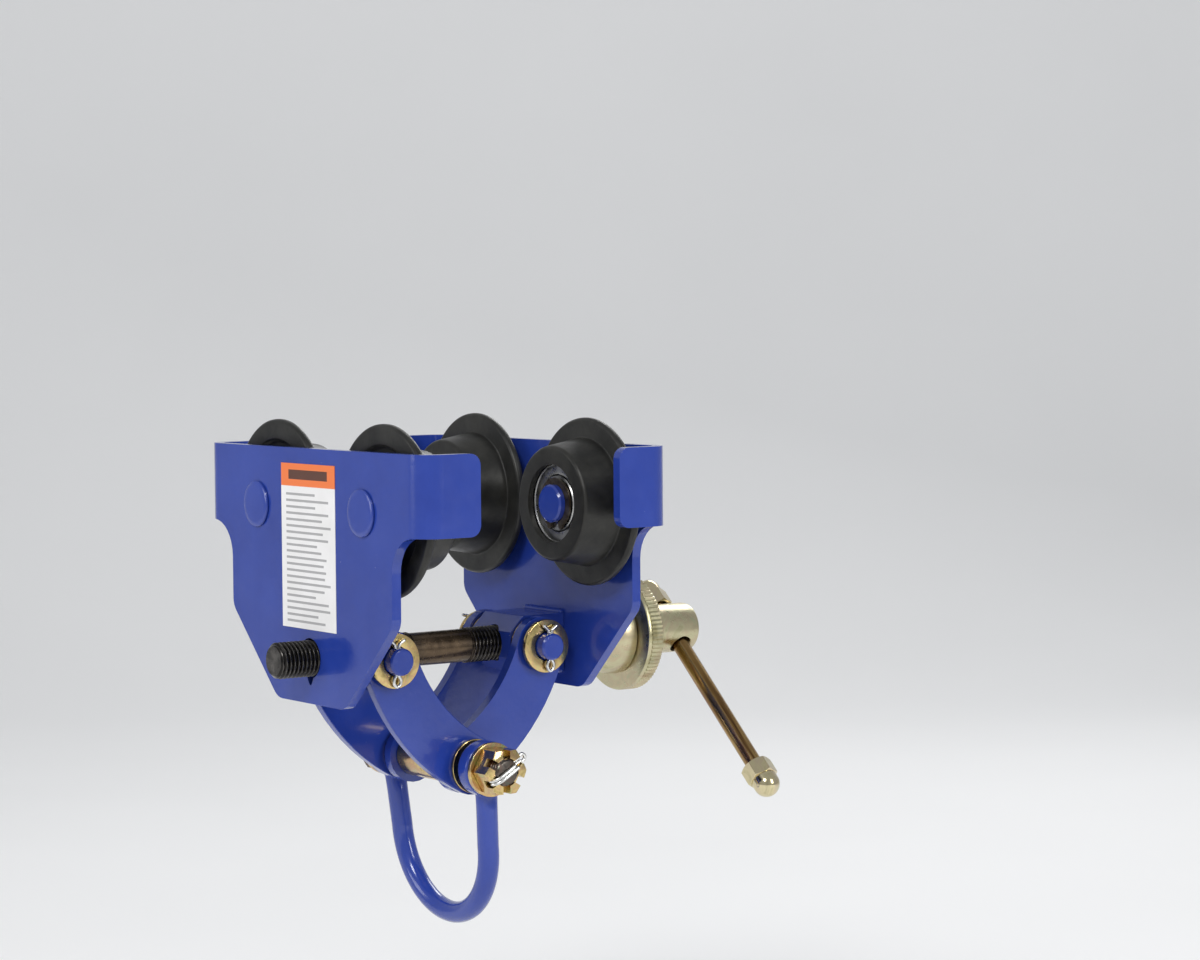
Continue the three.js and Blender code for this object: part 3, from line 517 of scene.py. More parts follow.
def spindle_oxide():
    """Black oxide on the threads, with oil dried brown on the plain middle and crests painted lighter:
    partly rubbed wear, partly a painted highlight along the crests.
    """
    m = Nodes("spindle_oxide")
    front, rear = low("spindle").y, high("spindle").y
    along = m.share_along("Y", front, rear - front)
    oil_end = 20 * MM
    plain = [(way * oil_end - front) / (rear - front) for way in (-1, 1)]
    fade = 0.06
    between = m.ramp(along, (plain[0], 0), (plain[0] + fade, 1), (plain[1] - fade, 1), (plain[1], 0))
    oil = m.noise(55, detail=5, roughness=0.65)
    black = m.ramp(oil, (0.3, (0.012, 0.012, 0.012)), (0.7, (0.034, 0.031, 0.028)))
    brown = m.ramp(oil, (0.3, (0.075, 0.052, 0.034)), (0.7, (0.170, 0.118, 0.072)))
    # Painted highlight along the thread crests, partly rubbed wear: the sharp edges turn lighter grey.
    worn = m.maths("MULTIPLY", m.edges(0.51, 0.58), m.ramp(m.noise(260), (0.35, 0.15), (0.7, 0.6)))
    color = m.mix(worn, m.mix(between, black, brown), (0.30, 0.28, 0.26))
    rough = m.ramp(m.noise(240, detail=4), (0.3, 0.18), (0.75, 0.34))
    return m.set(color=color, metal=0.85, rough=rough, normal=m.bump(m.noise(900), 0.00004, 0.4))


def bright_wire():
    """Plain bright wire with drawing marks."""
    m = Nodes("bright_wire")
    marks = m.noise(500, detail=3)
    color = m.ramp(marks, (0.3, (0.62, 0.62, 0.60)), (0.7, (0.82, 0.82, 0.80)))
    rough = m.ramp(m.noise(240), (0.3, 0.16), (0.7, 0.34))
    return m.set(color=color, metal=1.0, rough=rough, normal=m.bump(marks, 0.00003, 0.4))


def label_print():
    """A white sticker with a plain orange band and rows of short grey bars, no lettering."""
    m = Nodes("label")
    corner, extent = low("label"), size("label")
    across = m.share_along("X", corner.x, extent.x)
    up = m.share_along("Z", corner.z, extent.z)
    band_foot, band_height = 0.862, 0.138
    title_low, title_high = band_foot + band_height * 0.3, band_foot + band_height * 0.72
    title_left, title_right = 0.14, 0.86
    rows, row_ink, row_start = 21, 0.38, 0.09
    text_top, text_foot = 0.845, 0.035
    shortest, spread = 0.63, 0.3
    row_place = m.maths("MULTIPLY", m.maths("SUBTRACT", up, text_foot), rows / (text_top - text_foot))
    chance = m.tree.nodes.new("ShaderNodeTexWhiteNoise")
    chance.noise_dimensions = "1D"
    m.link(m.maths("FLOOR", row_place), chance.inputs["W"])
    row_end = m.maths("ADD", m.maths("MULTIPLY", chance.outputs["Value"], spread), shortest)
    in_row = m.within(across, row_start, row_end)
    ink_height = m.maths("LESS_THAN", m.maths("FRACT", row_place), row_ink)
    ink = m.maths("MULTIPLY", m.maths("MULTIPLY", m.within(up, text_foot, text_top), ink_height), in_row)
    paper = m.ramp(m.noise(70), (0.3, (0.80, 0.79, 0.78)), (0.7, (0.87, 0.86, 0.86)))
    grey = m.mix(m.maths("MULTIPLY", ink, 0.62), paper, (0.12, 0.12, 0.13))
    title_across = m.within(across, title_left, title_right)
    title = m.maths("MULTIPLY", m.within(up, title_low, title_high), title_across)
    orange = m.mix(title, (0.86, 0.20, 0.05), (0.10, 0.035, 0.02))
    band = m.maths("GREATER_THAN", up, band_foot)
    color = m.mix(band, grey, orange)
    normal = m.bump(m.noise(260, detail=2), 0.00006, 0.3)
    return m.set(color=color, rough=0.38, normal=normal)


MATERIALS = {
    "blue_paint": blue_paint(),
    "yellow_zinc": yellow_zinc(
        "yellow_zinc",
        pale=(0.66, 0.52, 0.22),
        deep=(0.30, 0.20, 0.07),
        rose=(0.56, 0.33, 0.19),
        green=(0.42, 0.46, 0.22),
        rough=(0.12, 0.28),
    ),
    "pale_zinc": yellow_zinc(
        "pale_zinc",
        pale=(0.56, 0.53, 0.34),
        deep=(0.38, 0.34, 0.18),
        rose=(0.54, 0.45, 0.30),
        green=(0.42, 0.45, 0.29),
        rough=(0.24, 0.40),
        blotch=60,
    ),
    "nut_zinc": yellow_zinc(
        "nut_zinc",
        pale=(0.70, 0.62, 0.38),
        deep=(0.46, 0.40, 0.24),
        rose=(0.66, 0.54, 0.38),
        green=(0.56, 0.60, 0.46),
        rough=(0.07, 0.18),
        blotch=90,
    ),
    "dark_zinc": yellow_zinc(
        "dark_zinc",
        pale=(0.13, 0.115, 0.10),
        deep=(0.045, 0.038, 0.034),
        rose=(0.16, 0.10, 0.08),
        green=(0.11, 0.12, 0.09),
        rough=(0.22, 0.42),
    ),
    "bar_zinc": drawn_bar(),
    "wheel_black": black_wheel(),
    "bearing_steel": bearing_steel(),
    "black_oxide": black_oxide(),
    "spindle_oxide": spindle_oxide(),
    "bright_wire": bright_wire(),
    "label": label_print(),
}


def paint(obj, material):
    """Gives a piece one material and no other."""
    obj.data.materials.clear()
    obj.data.materials.append(MATERIALS[material])


def owner(node):
    """The body that a CAD node belongs to."""
    for body, members in frame["record"]["behaviour"]["bodies"].items():
        if node in members:
            return body
    raise KeyError(node)


def stand_for(obj, node, material):
    """A detailed piece takes a CAD node's place, on the same body."""
    paint(obj, material)
    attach(obj, owner(node))
    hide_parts(node)


def dress(node, material, edge=0.0, segments=2):
    """Keeps a CAD node and gives it a material, soft shading and slightly rounded edges."""
    obj = nodes[node]
    paint(obj, material)
    weld = obj.modifiers.new("weld", "WELD")
    weld.merge_threshold = 1e-6
    flatten = obj.modifiers.new("flatten", "DECIMATE")
    flatten.decimate_type = "DISSOLVE"
    flatten.angle_limit = math.radians(0.4)
    if edge:
        bevel(obj, edge, segments)
    smooth = obj.modifiers.new("soft", "NODES")
    smooth.node_group = smooth_by_angle(30)
    even = obj.modifiers.new("even", "WEIGHTED_NORMAL")
    even.keep_sharp = True
    even.weight = 100


def smooth_by_angle(degrees):
    """A geometry node group that shades smooth but for edges sharper than the angle."""
    name = f"smooth_{degrees}"
    if name in bpy.data.node_groups:
        return bpy.data.node_groups[name]
    tree = bpy.data.node_groups.new(name, "GeometryNodeTree")
    tree.interface.new_socket("Geometry", in_out="INPUT", socket_type="NodeSocketGeometry")
    tree.interface.new_socket("Geometry", in_out="OUTPUT", socket_type="NodeSocketGeometry")
    start = tree.nodes.new("NodeGroupInput")
    end = tree.nodes.new("NodeGroupOutput")
    angle = tree.nodes.new("GeometryNodeInputMeshEdgeAngle")
    below = tree.nodes.new("FunctionNodeCompare")
    below.operation = "LESS_THAN"
    below.inputs[1].default_value = math.radians(degrees)
    edges = tree.nodes.new("GeometryNodeSetShadeSmooth")
    edges.domain = "EDGE"
    faces = tree.nodes.new("GeometryNodeSetShadeSmooth")
    faces.domain = "FACE"
    tree.links.new(start.outputs[0], faces.inputs["Geometry"])
    tree.links.new(faces.outputs[0], edges.inputs["Geometry"])
    tree.links.new(angle.outputs["Unsigned Angle"], below.inputs[0])
    tree.links.new(below.outputs["Result"], edges.inputs["Shade Smooth"])
    tree.links.new(edges.outputs[0], end.inputs[0])
    return tree


# ---- wheels
def make_wheel(side, hand):
    """A tapered tread with a flange next to the plate, open there for its bearing."""
    node = f"{side}_wheel_{hand}"
    axis = Vector((0, outward(side), 0))
    flange = size(node).x / 2
    web_end, plate_end = reach_out(node)
    flange_back = plate_end - 4 * MM
    lip_bore, lip = 17.5 * MM, 3 * MM
    tread_end, tread_root = 25.6 * MM, 28.6 * MM
    recess = 2 * MM
    seat = size(f"{side}_bearing_outer_{hand}").x / 2 + CLEARANCE
    profile = [
        (lip_bore, web_end),
        (tread_end - 1.0 * MM, web_end),
        (tread_end, web_end + 1.0 * MM),
        (tread_root, flange_back),
        (flange - 0.9 * MM, flange_back),
        (flange, flange_back + 1.0 * MM),
        (flange, plate_end - 1.0 * MM),
        (flange - 1.0 * MM, plate_end),
        (28.5 * MM, plate_end),
        (27.3 * MM, plate_end - recess),
        (seat, plate_end - recess),
        (seat, web_end + lip),
        (lip_bore, web_end + lip),
    ]
    fine = rounded(profile + [profile[0]], 0.6 * MM, 3)[:-1]
    obj = lathe(f"{node}_turned", fine, axis, on_y_line(node), segments=120, closed=True)
    stand_for(obj, node, "wheel_black")


def both_ends(half, near, far):
    """A closed profile from its near half, given as (radius, distance in from the end)."""
    front = [(radius, near + inset) for radius, inset in half]
    return front + [(radius, far - inset) for radius, inset in reversed(half)]


def make_bearing(side, hand):
    """An outer ring with its two dished shields, and an inner ring."""
    axis = Vector((0, outward(side), 0))
    outer = f"{side}_bearing_outer_{hand}"
    inner = f"{side}_bearing_inner_{hand}"
    origin = on_y_line(outer)
    near, far = reach_out(outer)
    race = size(outer).x / 2
    shield = 12.9 * MM
    half = [
        (17 * MM, 1.2 * MM),
        (shield, 1.0 * MM),
        (shield, 0.6 * MM),
        (14.5 * MM, 0.3 * MM),
        (16.9 * MM, 0.5 * MM),
        (17.2 * MM, 0),
        (race - 0.5 * MM, 0),
        (race, 0.5 * MM),
    ]
    profile = both_ends(half, near, far)
    obj = lathe(f"{outer}_race", profile, axis, origin, segments=72, closed=True, smooth_angle=25)
    stand_for(obj, outer, "bearing_steel")
    bore, lip, cut = 8.7 * MM, 12.4 * MM, 0.4 * MM
    ring = both_ends([(bore, cut), (bore + cut, 0), (lip - cut, 0), (lip, cut)], near, far)
    obj = lathe(f"{inner}_race", ring, axis, origin, segments=60, closed=True, smooth_angle=25)
    stand_for(obj, inner, "bearing_steel")


def make_axle(side, hand):
    """A riveted head outside the plate, a shoulder, a journal and the circlip's groove."""
    node = f"{side}_axle_{hand}"
    axis = Vector((0, outward(side), 0))
    web_end, head_top = reach_out(node)
    face = reach_out(f"{side}_plate")[1]
    race_near, race_far = reach_out(f"{side}_bearing_inner_{hand}")
    head, journal, shoulder = 10.2 * MM, 8.4 * MM, 12 * MM
    groove_depth, groove_width = 0.8 * MM, 1.3 * MM
    groove = race_near - CLEARANCE
    plate_back = face - SHEET - CLEARANCE
    profile = [
        (0, web_end),
        (journal - 0.8 * MM, web_end),
        (journal, web_end + 0.8 * MM),
        (journal, groove - groove_width),
        (journal - groove_depth, groove - groove_width),
        (journal - groove_depth, groove),
        (journal, groove),
        (journal, race_far + CLEARANCE),
        (shoulder, race_far + CLEARANCE),
        (shoulder, plate_back),
        (journal, plate_back),
        (journal, face + CLEARANCE),
        (head, face + CLEARANCE),
        (head, head_top - 0.7 * MM),
        (head - 0.25 * MM, head_top - 0.3 * MM),
        (head - 0.8 * MM, head_top - 0.05 * MM),
        (head - 2.5 * MM, head_top),
        (0, head_top),
    ]
    obj = lathe(f"{node}_turned", profile, axis, on_y_line(node), segments=72, smooth_angle=30)
    stand_for(obj, node, "blue_paint")


# ---- washers and tubes
def make_ring(node, edge=0.35 * MM):
    """A flat washer or tube about X with softly rounded edges."""
    bore = 6.4 * MM
    centre = middle(node)
    radius = size(node).z / 2
    half = size(node).x / 2
    profile = [(bore, -half), (radius, -half), (radius, half), (bore, half)]
    seam = ((bore + radius) / 2, -half)
    looped = [seam] + profile[1:] + [profile[0], seam]
    fine = rounded(looped, edge, 3)[:-1]
    obj = lathe(f"{node}_ring", fine, X_AXIS, centre, segments=84, closed=True)
    stand_for(obj, node, "yellow_zinc")


# ---- split pins
WIRE = 0.75 * MM


def make_split_pin(node):
    """Wire folded double: an eye below the trunnion pin and two spread legs above it."""
    centre = middle(node)
    block = node.split("_")[0] + "_trunnion_block"
    origin = Vector((centre.x, centre.y, middle(block).z))
    half = [
        (0, 2.0, 8.1),
        (0, 0.9, 6.6),
        (0, 0.72, 3),
        (0, 0.72, -3),
        (0, 0.72, -6.0),
        (0, 1.7, -7.8),
        (0, 1.5, -9.8),
    ]
    other = [(x, -y, z) for x, y, z in reversed(half)]
    far_leg = [(0, -5.0, 9.4), (0, -8.5, 10.2)] if node == SPLAYED_PIN else [(0, -3.4, 9.3)]
    route = [(0, 3.6, 9.0)] + half + [(0, 0, -11.0)] + other + far_leg
    points = [origin + Vector(p) * MM for p in smooth_route(route, 6)]
    obj = sweep(f"{node}_wire", points, WIRE, 12)
    stand_for(obj, node, "bright_wire")


def make_nut_split_pin():
    """An eye on one side of the nut; on the other both legs fold back over the bolt's end."""
    node = "nut_split_pin"
    wire, leg = 0.8, 0.85
    bolt_z = middle("load_bolt").z
    centre = Vector((low(node).x + wire * MM, 0, bolt_z))
    over = (high("load_bolt").x - centre.x) / MM + wire + 0.25
    half = [
        (over, 2, -leg),
        (over, -3.4, -leg),
        (over - 0.5, -6.0, -leg),
        (over - 2.0, -7.7, -leg),
        (0.6, -7.9, -leg),
        (0, -6, -leg),
        (0, 0, -leg),
        (0, 8.4, -leg),
        (0, 10.2, -1.5),
        (0, 11.9, -1.3),
    ]
    other = [(x, y, -z) for x, y, z in reversed(half)]
    route = [(over - 0.1, 5.2, -leg)] + half + [(0, 12.6, 0)] + other + [(over - 0.1, 3.9, leg)]
    turn = Matrix.Rotation(NUT_PIN_TURN, 3, "X")
    points = [centre + turn @ Vector(p) * MM for p in smooth_route(route, 7)]
    obj = sweep(f"{node}_wire", points, wire * MM, 12)
    stand_for(obj, node, "bright_wire")


# ---- threads
def thread_wobble(pitch, depth, hand):
    """Radius of a trapezoid-flanked helical thread; hand is 1 for right, -1 for left."""
    crest, flank_share = 0.16, 0.68

    def radius_at(angle, radius, along):
        phase = (along / pitch - hand * angle / (2 * math.pi)) % 1.0
        distance = abs(phase - 0.5) * 2
        flank = min(max((distance - crest) / flank_share, 0.0), 1.0)
        return radius - depth * flank

    return radius_at


def thread_profile(start, end, major, pitch):
    """Rings close enough along the axis to hold the shape of a thread."""
    rings_a_turn = 12
    count = int(round((end - start) / pitch * rings_a_turn))
    return [(major, start + (end - start) * i / count) for i in range(count + 1)]


def make_spindle():
    """M16 spindle: right-hand thread in front, left-hand behind, plain in the middle."""
    node = "spindle"
    major = size(node).x / 2
    pitch, depth = 2 * MM, 1.08 * MM
    front, rear = low(node).y, high(node).y
    shank, shank_half = 7.5 * MM, 15.5 * MM
    chamfer = 1.6 * MM
    cut = {-1: thread_wobble(pitch, depth, 1), 1: thread_wobble(pitch, depth, -1)}

    def radius_at(angle, radius, along):
        if abs(along) <= shank_half:
            return radius
        end = front if along < 0 else rear
        from_end = abs(along - end)
        run_out = min(1.0, (abs(along) - shank_half) / (0.6 * pitch))
        full = cut[-1 if along < 0 else 1](angle, major, along)
        tapered = min(full, major - max(0.0, chamfer - from_end))
        return shank * (1 - run_out) + tapered * run_out if run_out < 1 else tapered

    profile = [(0, front), (major - chamfer, front)]
    profile += thread_profile(front + 0.05 * MM, -shank_half, major, pitch)
    profile += [(shank, -shank_half + 0.2 * MM), (shank, 0), (shank, shank_half - 0.2 * MM)]
    profile += thread_profile(shank_half, rear - 0.05 * MM, major, pitch)
    profile += [(major - chamfer, rear), (0, rear)]

    def shaped(angle, radius, along):
        return radius if radius < major - 1e-6 else radius_at(angle, radius, along)

    origin = on_y_line(node)
    obj = lathe("spindle_threaded", profile, Y_AXIS, origin, 64, smooth_angle=36, wobble=shaped)
    stand_for(obj, node, "spindle_oxide")


# ---- knob, collar and tommy bar
def bar_direction():
    """Along the tommy bar, from its upper end to its lower."""
    lower = middle("cap_nut_lower")
    upper = middle("cap_nut_upper")
    return (lower - upper).normalized()


def make_knob():
    """Knurled flange with a smooth lip, a polished neck and the cross hole for the bar."""
    node = "knob"
    centre = middle(node)
    origin = Vector((centre.x, 0, centre.z))
    front, back = low(node).y, high(node).y
    flange = size(node).x / 2
    neck = 11.5 * MM
    width = 9.5 * MM
    lip = 2.5 * MM
    bore = THREAD_BORE
    spindle_end = high("spindle").y + 1 * MM
    teeth = 84
    knurl_depth = 0.55 * MM
    knurl_start, knurl_end = front + lip, front + width - 1.0 * MM

    def knurl(angle, radius, along):
        if radius < flange - 1e-6 or not knurl_start < along < knurl_end:
            return radius
        phase = abs((angle * teeth / (2 * math.pi)) % 1.0 - 0.5) * 2
        return radius - knurl_depth * phase

    rim = [
        (flange - 1.2 * MM, front),
        (flange - 0.35 * MM, front + 0.3 * MM),
        (flange, front + 1.0 * MM),
        (flange, knurl_start - 0.5 * MM),
        (flange - 0.5 * MM, knurl_start - 0.25 * MM),
        (flange - 0.5 * MM, knurl_start - 0.02 * MM),
        (flange, knurl_start + 0.05 * MM),
        (flange, knurl_end - 0.05 * MM),
        (flange - knurl_depth, knurl_end + 0.1 * MM),
        (flange - 1.4 * MM, front + width),
    ]
    face = [
        (flange - 5 * MM, front + width),
        (flange - 5.4 * MM, front + width - 0.35 * MM),
        (neck + 2.2 * MM, front + width - 0.35 * MM),
        (neck + 0.6 * MM, front + width),
        (neck, front + width + 0.9 * MM),
    ]
    end = [
        (neck, back - 2.4 * MM),
        (neck - 0.35 * MM, back - 1.1 * MM),
        (neck - 1.1 * MM, back - 0.35 * MM),
        (neck - 2.4 * MM, back),
        (0, back),
    ]
    inside = [(0, spindle_end), (bore, spindle_end), (bore, front)]
    profile = inside + rim + face + end
    obj = lathe("knob_turned", profile, Y_AXIS, origin, teeth * 6, smooth_angle=28, wobble=knurl)
    across = bar_direction()
    bar_y = middle("tommy_bar").y
    hole_origin = Vector((centre.x, bar_y, centre.z))
    mouth, hole = 5.6 * MM, 5.0 * MM
    far = neck + 3 * MM
    flare = neck - 0.8 * MM
    cutter_profile = [
        (0, -far),
        (mouth + 2.5 * MM, -far),
        (mouth - 0.4 * MM, -flare),
        (hole, -flare + 1.2 * MM),
        (hole, flare - 1.2 * MM),
        (mouth - 0.4 * MM, flare),
        (mouth + 2.5 * MM, far),
        (0, far),
    ]
    cutter = lathe("cutter", cutter_profile, across, hole_origin, segments=48)
    boolean(obj, cutter, "DIFFERENCE")
    pin_bore = 2.3 * MM
    pin_origin = Vector((centre.x, middle("hub_pin").y, centre.z))
    drill(obj, pin_bore, -far, far, X_AXIS, pin_origin, 32)
    shade(obj, 28)
    stand_for(obj, node, "pale_zinc")


def make_collar():
    """Half-ball collar with a raised rim where it meets the knob."""
    node = "domed_collar"
    back = high(node).y
    dome = size(node).x / 2
    bore = THREAD_BORE
    rim = 2 * MM
    dome_centre = back - rim
    profile = [(bore, back), (dome - 0.5 * MM, back), (dome, back - 0.5 * MM), (dome, dome_centre)]
    steps = 24
    last = math.acos((bore + 0.8 * MM) / dome)
    for i in range(1, steps + 1):
        turn = last * i / steps
        profile.append((dome * math.cos(turn), dome_centre - dome * math.sin(turn)))
    profile.append((bore, profile[-1][1] + 0.2 * MM))
    origin = on_y_line(node)
    obj = lathe("collar_turned", profile, Y_AXIS, origin, segments=96, closed=True, smooth_angle=40)
    stand_for(obj, node, "pale_zinc")


def make_tommy_bar():
    """The bar with chamfered ends; returns where it lies, for the cap nuts."""
    across = bar_direction()
    origin = Vector((middle("spindle").x, middle("tommy_bar").y, middle("spindle").z))
    radius = 3.9 * MM
    corners = (low("tommy_bar"), high("tommy_bar"))
    half_side = radius * Vector((abs(across.z), 1, abs(across.x)))
    start = Vector((corners[0].x + half_side.x, 0, corners[1].z - half_side.z))
    end = Vector((corners[1].x - half_side.x, 0, corners[0].z + half_side.z))
    first = (start - Vector((origin.x, 0, origin.z))).dot(across)
    last = (end - Vector((origin.x, 0, origin.z))).dot(across)
    profile = [
        (0, first),
        (radius - 0.6 * MM, first),
        (radius, first + 0.6 * MM),
        (radius, last - 0.6 * MM),
        (radius - 0.6 * MM, last),
        (0, last),
    ]
    obj = lathe("tommy_bar_drawn", profile, across, origin, segments=48)
    stand_for(obj, "tommy_bar", "bar_zinc")
    return origin, across, first, last


def hexagon(flats, turn):
    """The six corners of a hexagon that measures flats across its flats."""
    corner = flats / math.sqrt(3)
    return [
        (corner * math.cos(turn + math.pi / 3 * i), corner * math.sin(turn + math.pi / 3 * i))
        for i in range(6)
    ]


def chamfered_hex(name, flats, axis, origin, start, end, turn=0.0):
    """A hexagon whose corners are turned off at 30 degrees, as on a real nut."""
    body = prism(name, hexagon(flats, turn), axis, origin, start, end)
    corner = flats / math.sqrt(3) + 0.2 * MM
    drop = (corner - flats / 2) * math.tan(math.radians(30))
    past = 0.5 * MM
    face = flats / 2 - past / math.tan(math.radians(30))
    blank = [
        (0, start - past),
        (face, start - past),
        (corner, start + drop),
        (corner, end - drop),
        (face, end + past),
        (0, end + past),
    ]
    turned = lathe("blank", blank, axis, origin, segments=96)
    return boolean(body, turned, "INTERSECT")


def make_cap_nut(node, origin, across, reach, flip):
    """Domed cap nut, open towards the middle of the bar."""
    axis = -across if flip else across
    flats, hex_height, length = 13 * MM, 8 * MM, 17 * MM
    cap = 12.2 * MM / 2
    bore, depth = 4.2 * MM, 11 * MM
    obj = chamfered_hex(f"{node}_hex", flats, axis, origin, reach, reach + hex_height)
    cap_centre = reach + length - cap
    profile = [(0, reach + 1 * MM), (cap, reach + 1 * MM), (cap, cap_centre)]
    steps = 16
    for i in range(1, steps):
        turn = math.pi / 2 * i / steps
        profile.append((cap * math.cos(turn), cap_centre + cap * math.sin(turn)))
    profile.append((0, reach + length))
    boolean(obj, lathe("cap", profile, axis, origin, segments=64), "UNION")
    drill(obj, bore, reach - 1 * MM, reach + depth, axis, origin, 40)
    obj.name = f"{node}_polished"
    shade(obj, 32)
    stand_for(obj, node, "nut_zinc")


# ---- load bolt and castle nut
NUT_PIN_TURN = math.radians(30)
NUT_PIN_AXIS = Vector((0, math.cos(NUT_PIN_TURN), math.sin(NUT_PIN_TURN)))
HEX_TURN = math.pi / 2  # puts two corners of a hexagon on the Y axis
LOAD_NUT_FLATS = 19 * MM


def make_bolt():
    """Hexagon head, plain shank, threaded end and the cross hole for the split pin."""
    node = "load_bolt"
    centre = Vector((0, 0, middle(node).z))
    start, end = low(node).x, high(node).x
    axis = X_AXIS
    flats, head = LOAD_NUT_FLATS, 7.6 * MM
    radius = 6 * MM
    pitch, depth = 1.75 * MM, 0.95 * MM
    thread_start = low("nut_washer").x - 6 * MM
    obj = chamfered_hex(f"{node}_head", flats, axis, centre, start, start + head, turn=HEX_TURN)
    cut = thread_wobble(pitch, depth, 1)

    def radius_at(angle, here, along):
        if here < radius - 1e-6 or along <= thread_start:
            return here
        from_end = end - along
        return min(cut(angle, here, along), radius - max(0.0, 1.0 * MM - from_end))

    profile = [(0, start + head / 2), (radius, start + head / 2), (radius, thread_start)]
    profile += thread_profile(thread_start + 0.05 * MM, end - 0.05 * MM, radius, pitch)
    profile += [(radius - 1.1 * MM, end), (0, end)]
    shank = lathe("shank", profile, axis, centre, segments=48, wobble=radius_at)
    boolean(obj, shank, "UNION")
    pin_x = low("nut_split_pin").x + WIRE
    pin_bore, past = 1.75 * MM, 9 * MM
    drill(obj, pin_bore, -past, past, NUT_PIN_AXIS, Vector((pin_x, 0, centre.z)), 24)
    obj.name = "load_bolt_threaded"
    shade(obj, 40)
    stand_for(obj, node, "dark_zinc")


def make_castle_nut():
    """A hexagon with three slots right across its outer end, so that six tines stand up."""
    node = "castle_nut"
    centre = Vector((0, 0, middle(node).z))
    start, end = low(node).x, high(node).x
    axis = X_AXIS
    flats = LOAD_NUT_FLATS
    slot_width, slot_depth = 3.7 * MM, 4.6 * MM
    bore = 6.25 * MM
    crown = end - slot_depth
    obj = chamfered_hex(f"{node}_hex", flats, axis, centre, start, end, turn=HEX_TURN)
    drill(obj, bore, start - 1 * MM, end + 1 * MM, axis, centre, 48)
    half, far = slot_width / 2, flats
    for i in range(3):
        turn = NUT_PIN_TURN + math.pi / 3 * i
        across = Vector((0, math.cos(turn), math.sin(turn)))
        side = Vector((0, -math.sin(turn), math.cos(turn)))
        verts = []
        for x in (crown, end + 2 * MM):
            for u, v in ((-far, -half), (far, -half), (far, half), (-far, half)):
                verts.append(centre + Vector((x, 0, 0)) + across * u + side * v)
        faces = [(3, 2, 1, 0), (4, 5, 6, 7), (0, 1, 5, 4), (1, 2, 6, 5), (2, 3, 7, 6), (3, 0, 4, 7)]
        boolean(obj, mesh_object("slot", verts, faces), "DIFFERENCE")
    obj.name = "castle_nut_slotted"
    shade(obj, 32)
    bevel(obj, 0.22 * MM, 2, 35)
    stand_for(obj, node, "yellow_zinc")


# ---- shackle
def shackle_route(spacing, bow, bow_centre):
    """Down one leg from its eye, round the bow and up the other, seen along Y."""
    top, leg_steps, bow_steps = -8 * MM, 24, 72
    route = []
    for i in range(leg_steps):
        t = i / leg_steps
        route.append(Vector((spacing + (bow - spacing) * t, 0, top + (bow_centre - top) * t)))
    for i in range(bow_steps + 1):
        turn = -math.pi * i / bow_steps
        route.append(Vector((bow * math.cos(turn), 0, bow_centre + bow * math.sin(turn))))
    for i in range(1, leg_steps + 1):
        t = i / leg_steps
        route.append(Vector((-bow + (bow - spacing) * t, 0, bow_centre + (top - bow_centre) * t)))
    return route


def make_shackle():
    """Bent round bar forged out flat at both eyes, fused and smoothed into one skin."""
    node = "shackle"
    pivot = Vector((0, 0, middle("load_bolt").z))
    swing = Matrix.Rotation(SHACKLE_REST, 4, "X")
    eye, eye_half, eye_round = 12.2 * MM, 4 * MM, 1.6 * MM
    left = high("head_washer").x + STACK_GAP + eye_half
    right = low("nut_washer").x - STACK_GAP - eye_half
    middle_x = (left + right) / 2
    spacing = (right - left) / 2
    bar, bow, drop = 4.8 * MM, 35 * MM, 70.3 * MM
    neck, neck_half = 5.3 * MM, eye_half - 0.15 * MM
    flat_from, flat_to = -12 * MM, -19 * MM
    route = shackle_route(spacing, bow, -drop + bow)
    sides = 40
    verts = []
    for point, tangent in zip(route, tangents_along(route)):
        across = tangent.cross(Y_AXIS)
        forged = min(max((point.z - flat_to) / (flat_from - flat_to), 0.0), 1.0)
        forged = forged * forged * (3 - 2 * forged)
        wide = bar + (neck - bar) * forged
        thick = bar + (neck_half - bar) * forged
        for k in range(sides):
            angle = 2 * math.pi * k / sides
            verts.append(point + Y_AXIS * wide * math.cos(angle) + across * thick * math.sin(angle))
    obj = mesh_object("shackle_forged", verts, tube_faces(len(route), sides))
    edge = [(0, -eye_half), (eye, -eye_half), (eye, eye_half), (0, eye_half)]
    for x in (-spacing, spacing):
        disc = lathe("eye", rounded(edge, eye_round, 6), X_AXIS, Vector((x, 0, 0)), segments=96)
        boolean(obj, disc, "UNION")
    remesh = obj.modifiers.new("fuse", "REMESH")
    remesh.mode = "VOXEL"
    remesh.voxel_size = 0.55 * MM
    soften = obj.modifiers.new("soften", "SMOOTH")
    soften.factor = 0.5
    soften.iterations = 6
    apply_modifiers(obj)
    hole = 6.5 * MM
    reach = spacing + 20 * MM
    drill(obj, hole, -reach, reach, X_AXIS, Vector((0, 0, 0)), 64)
    obj.data.transform(Matrix.Translation(pivot) @ swing @ Matrix.Translation((middle_x, 0, 0)))
    shade(obj, 45)
    stand_for(obj, node, "blue_paint")


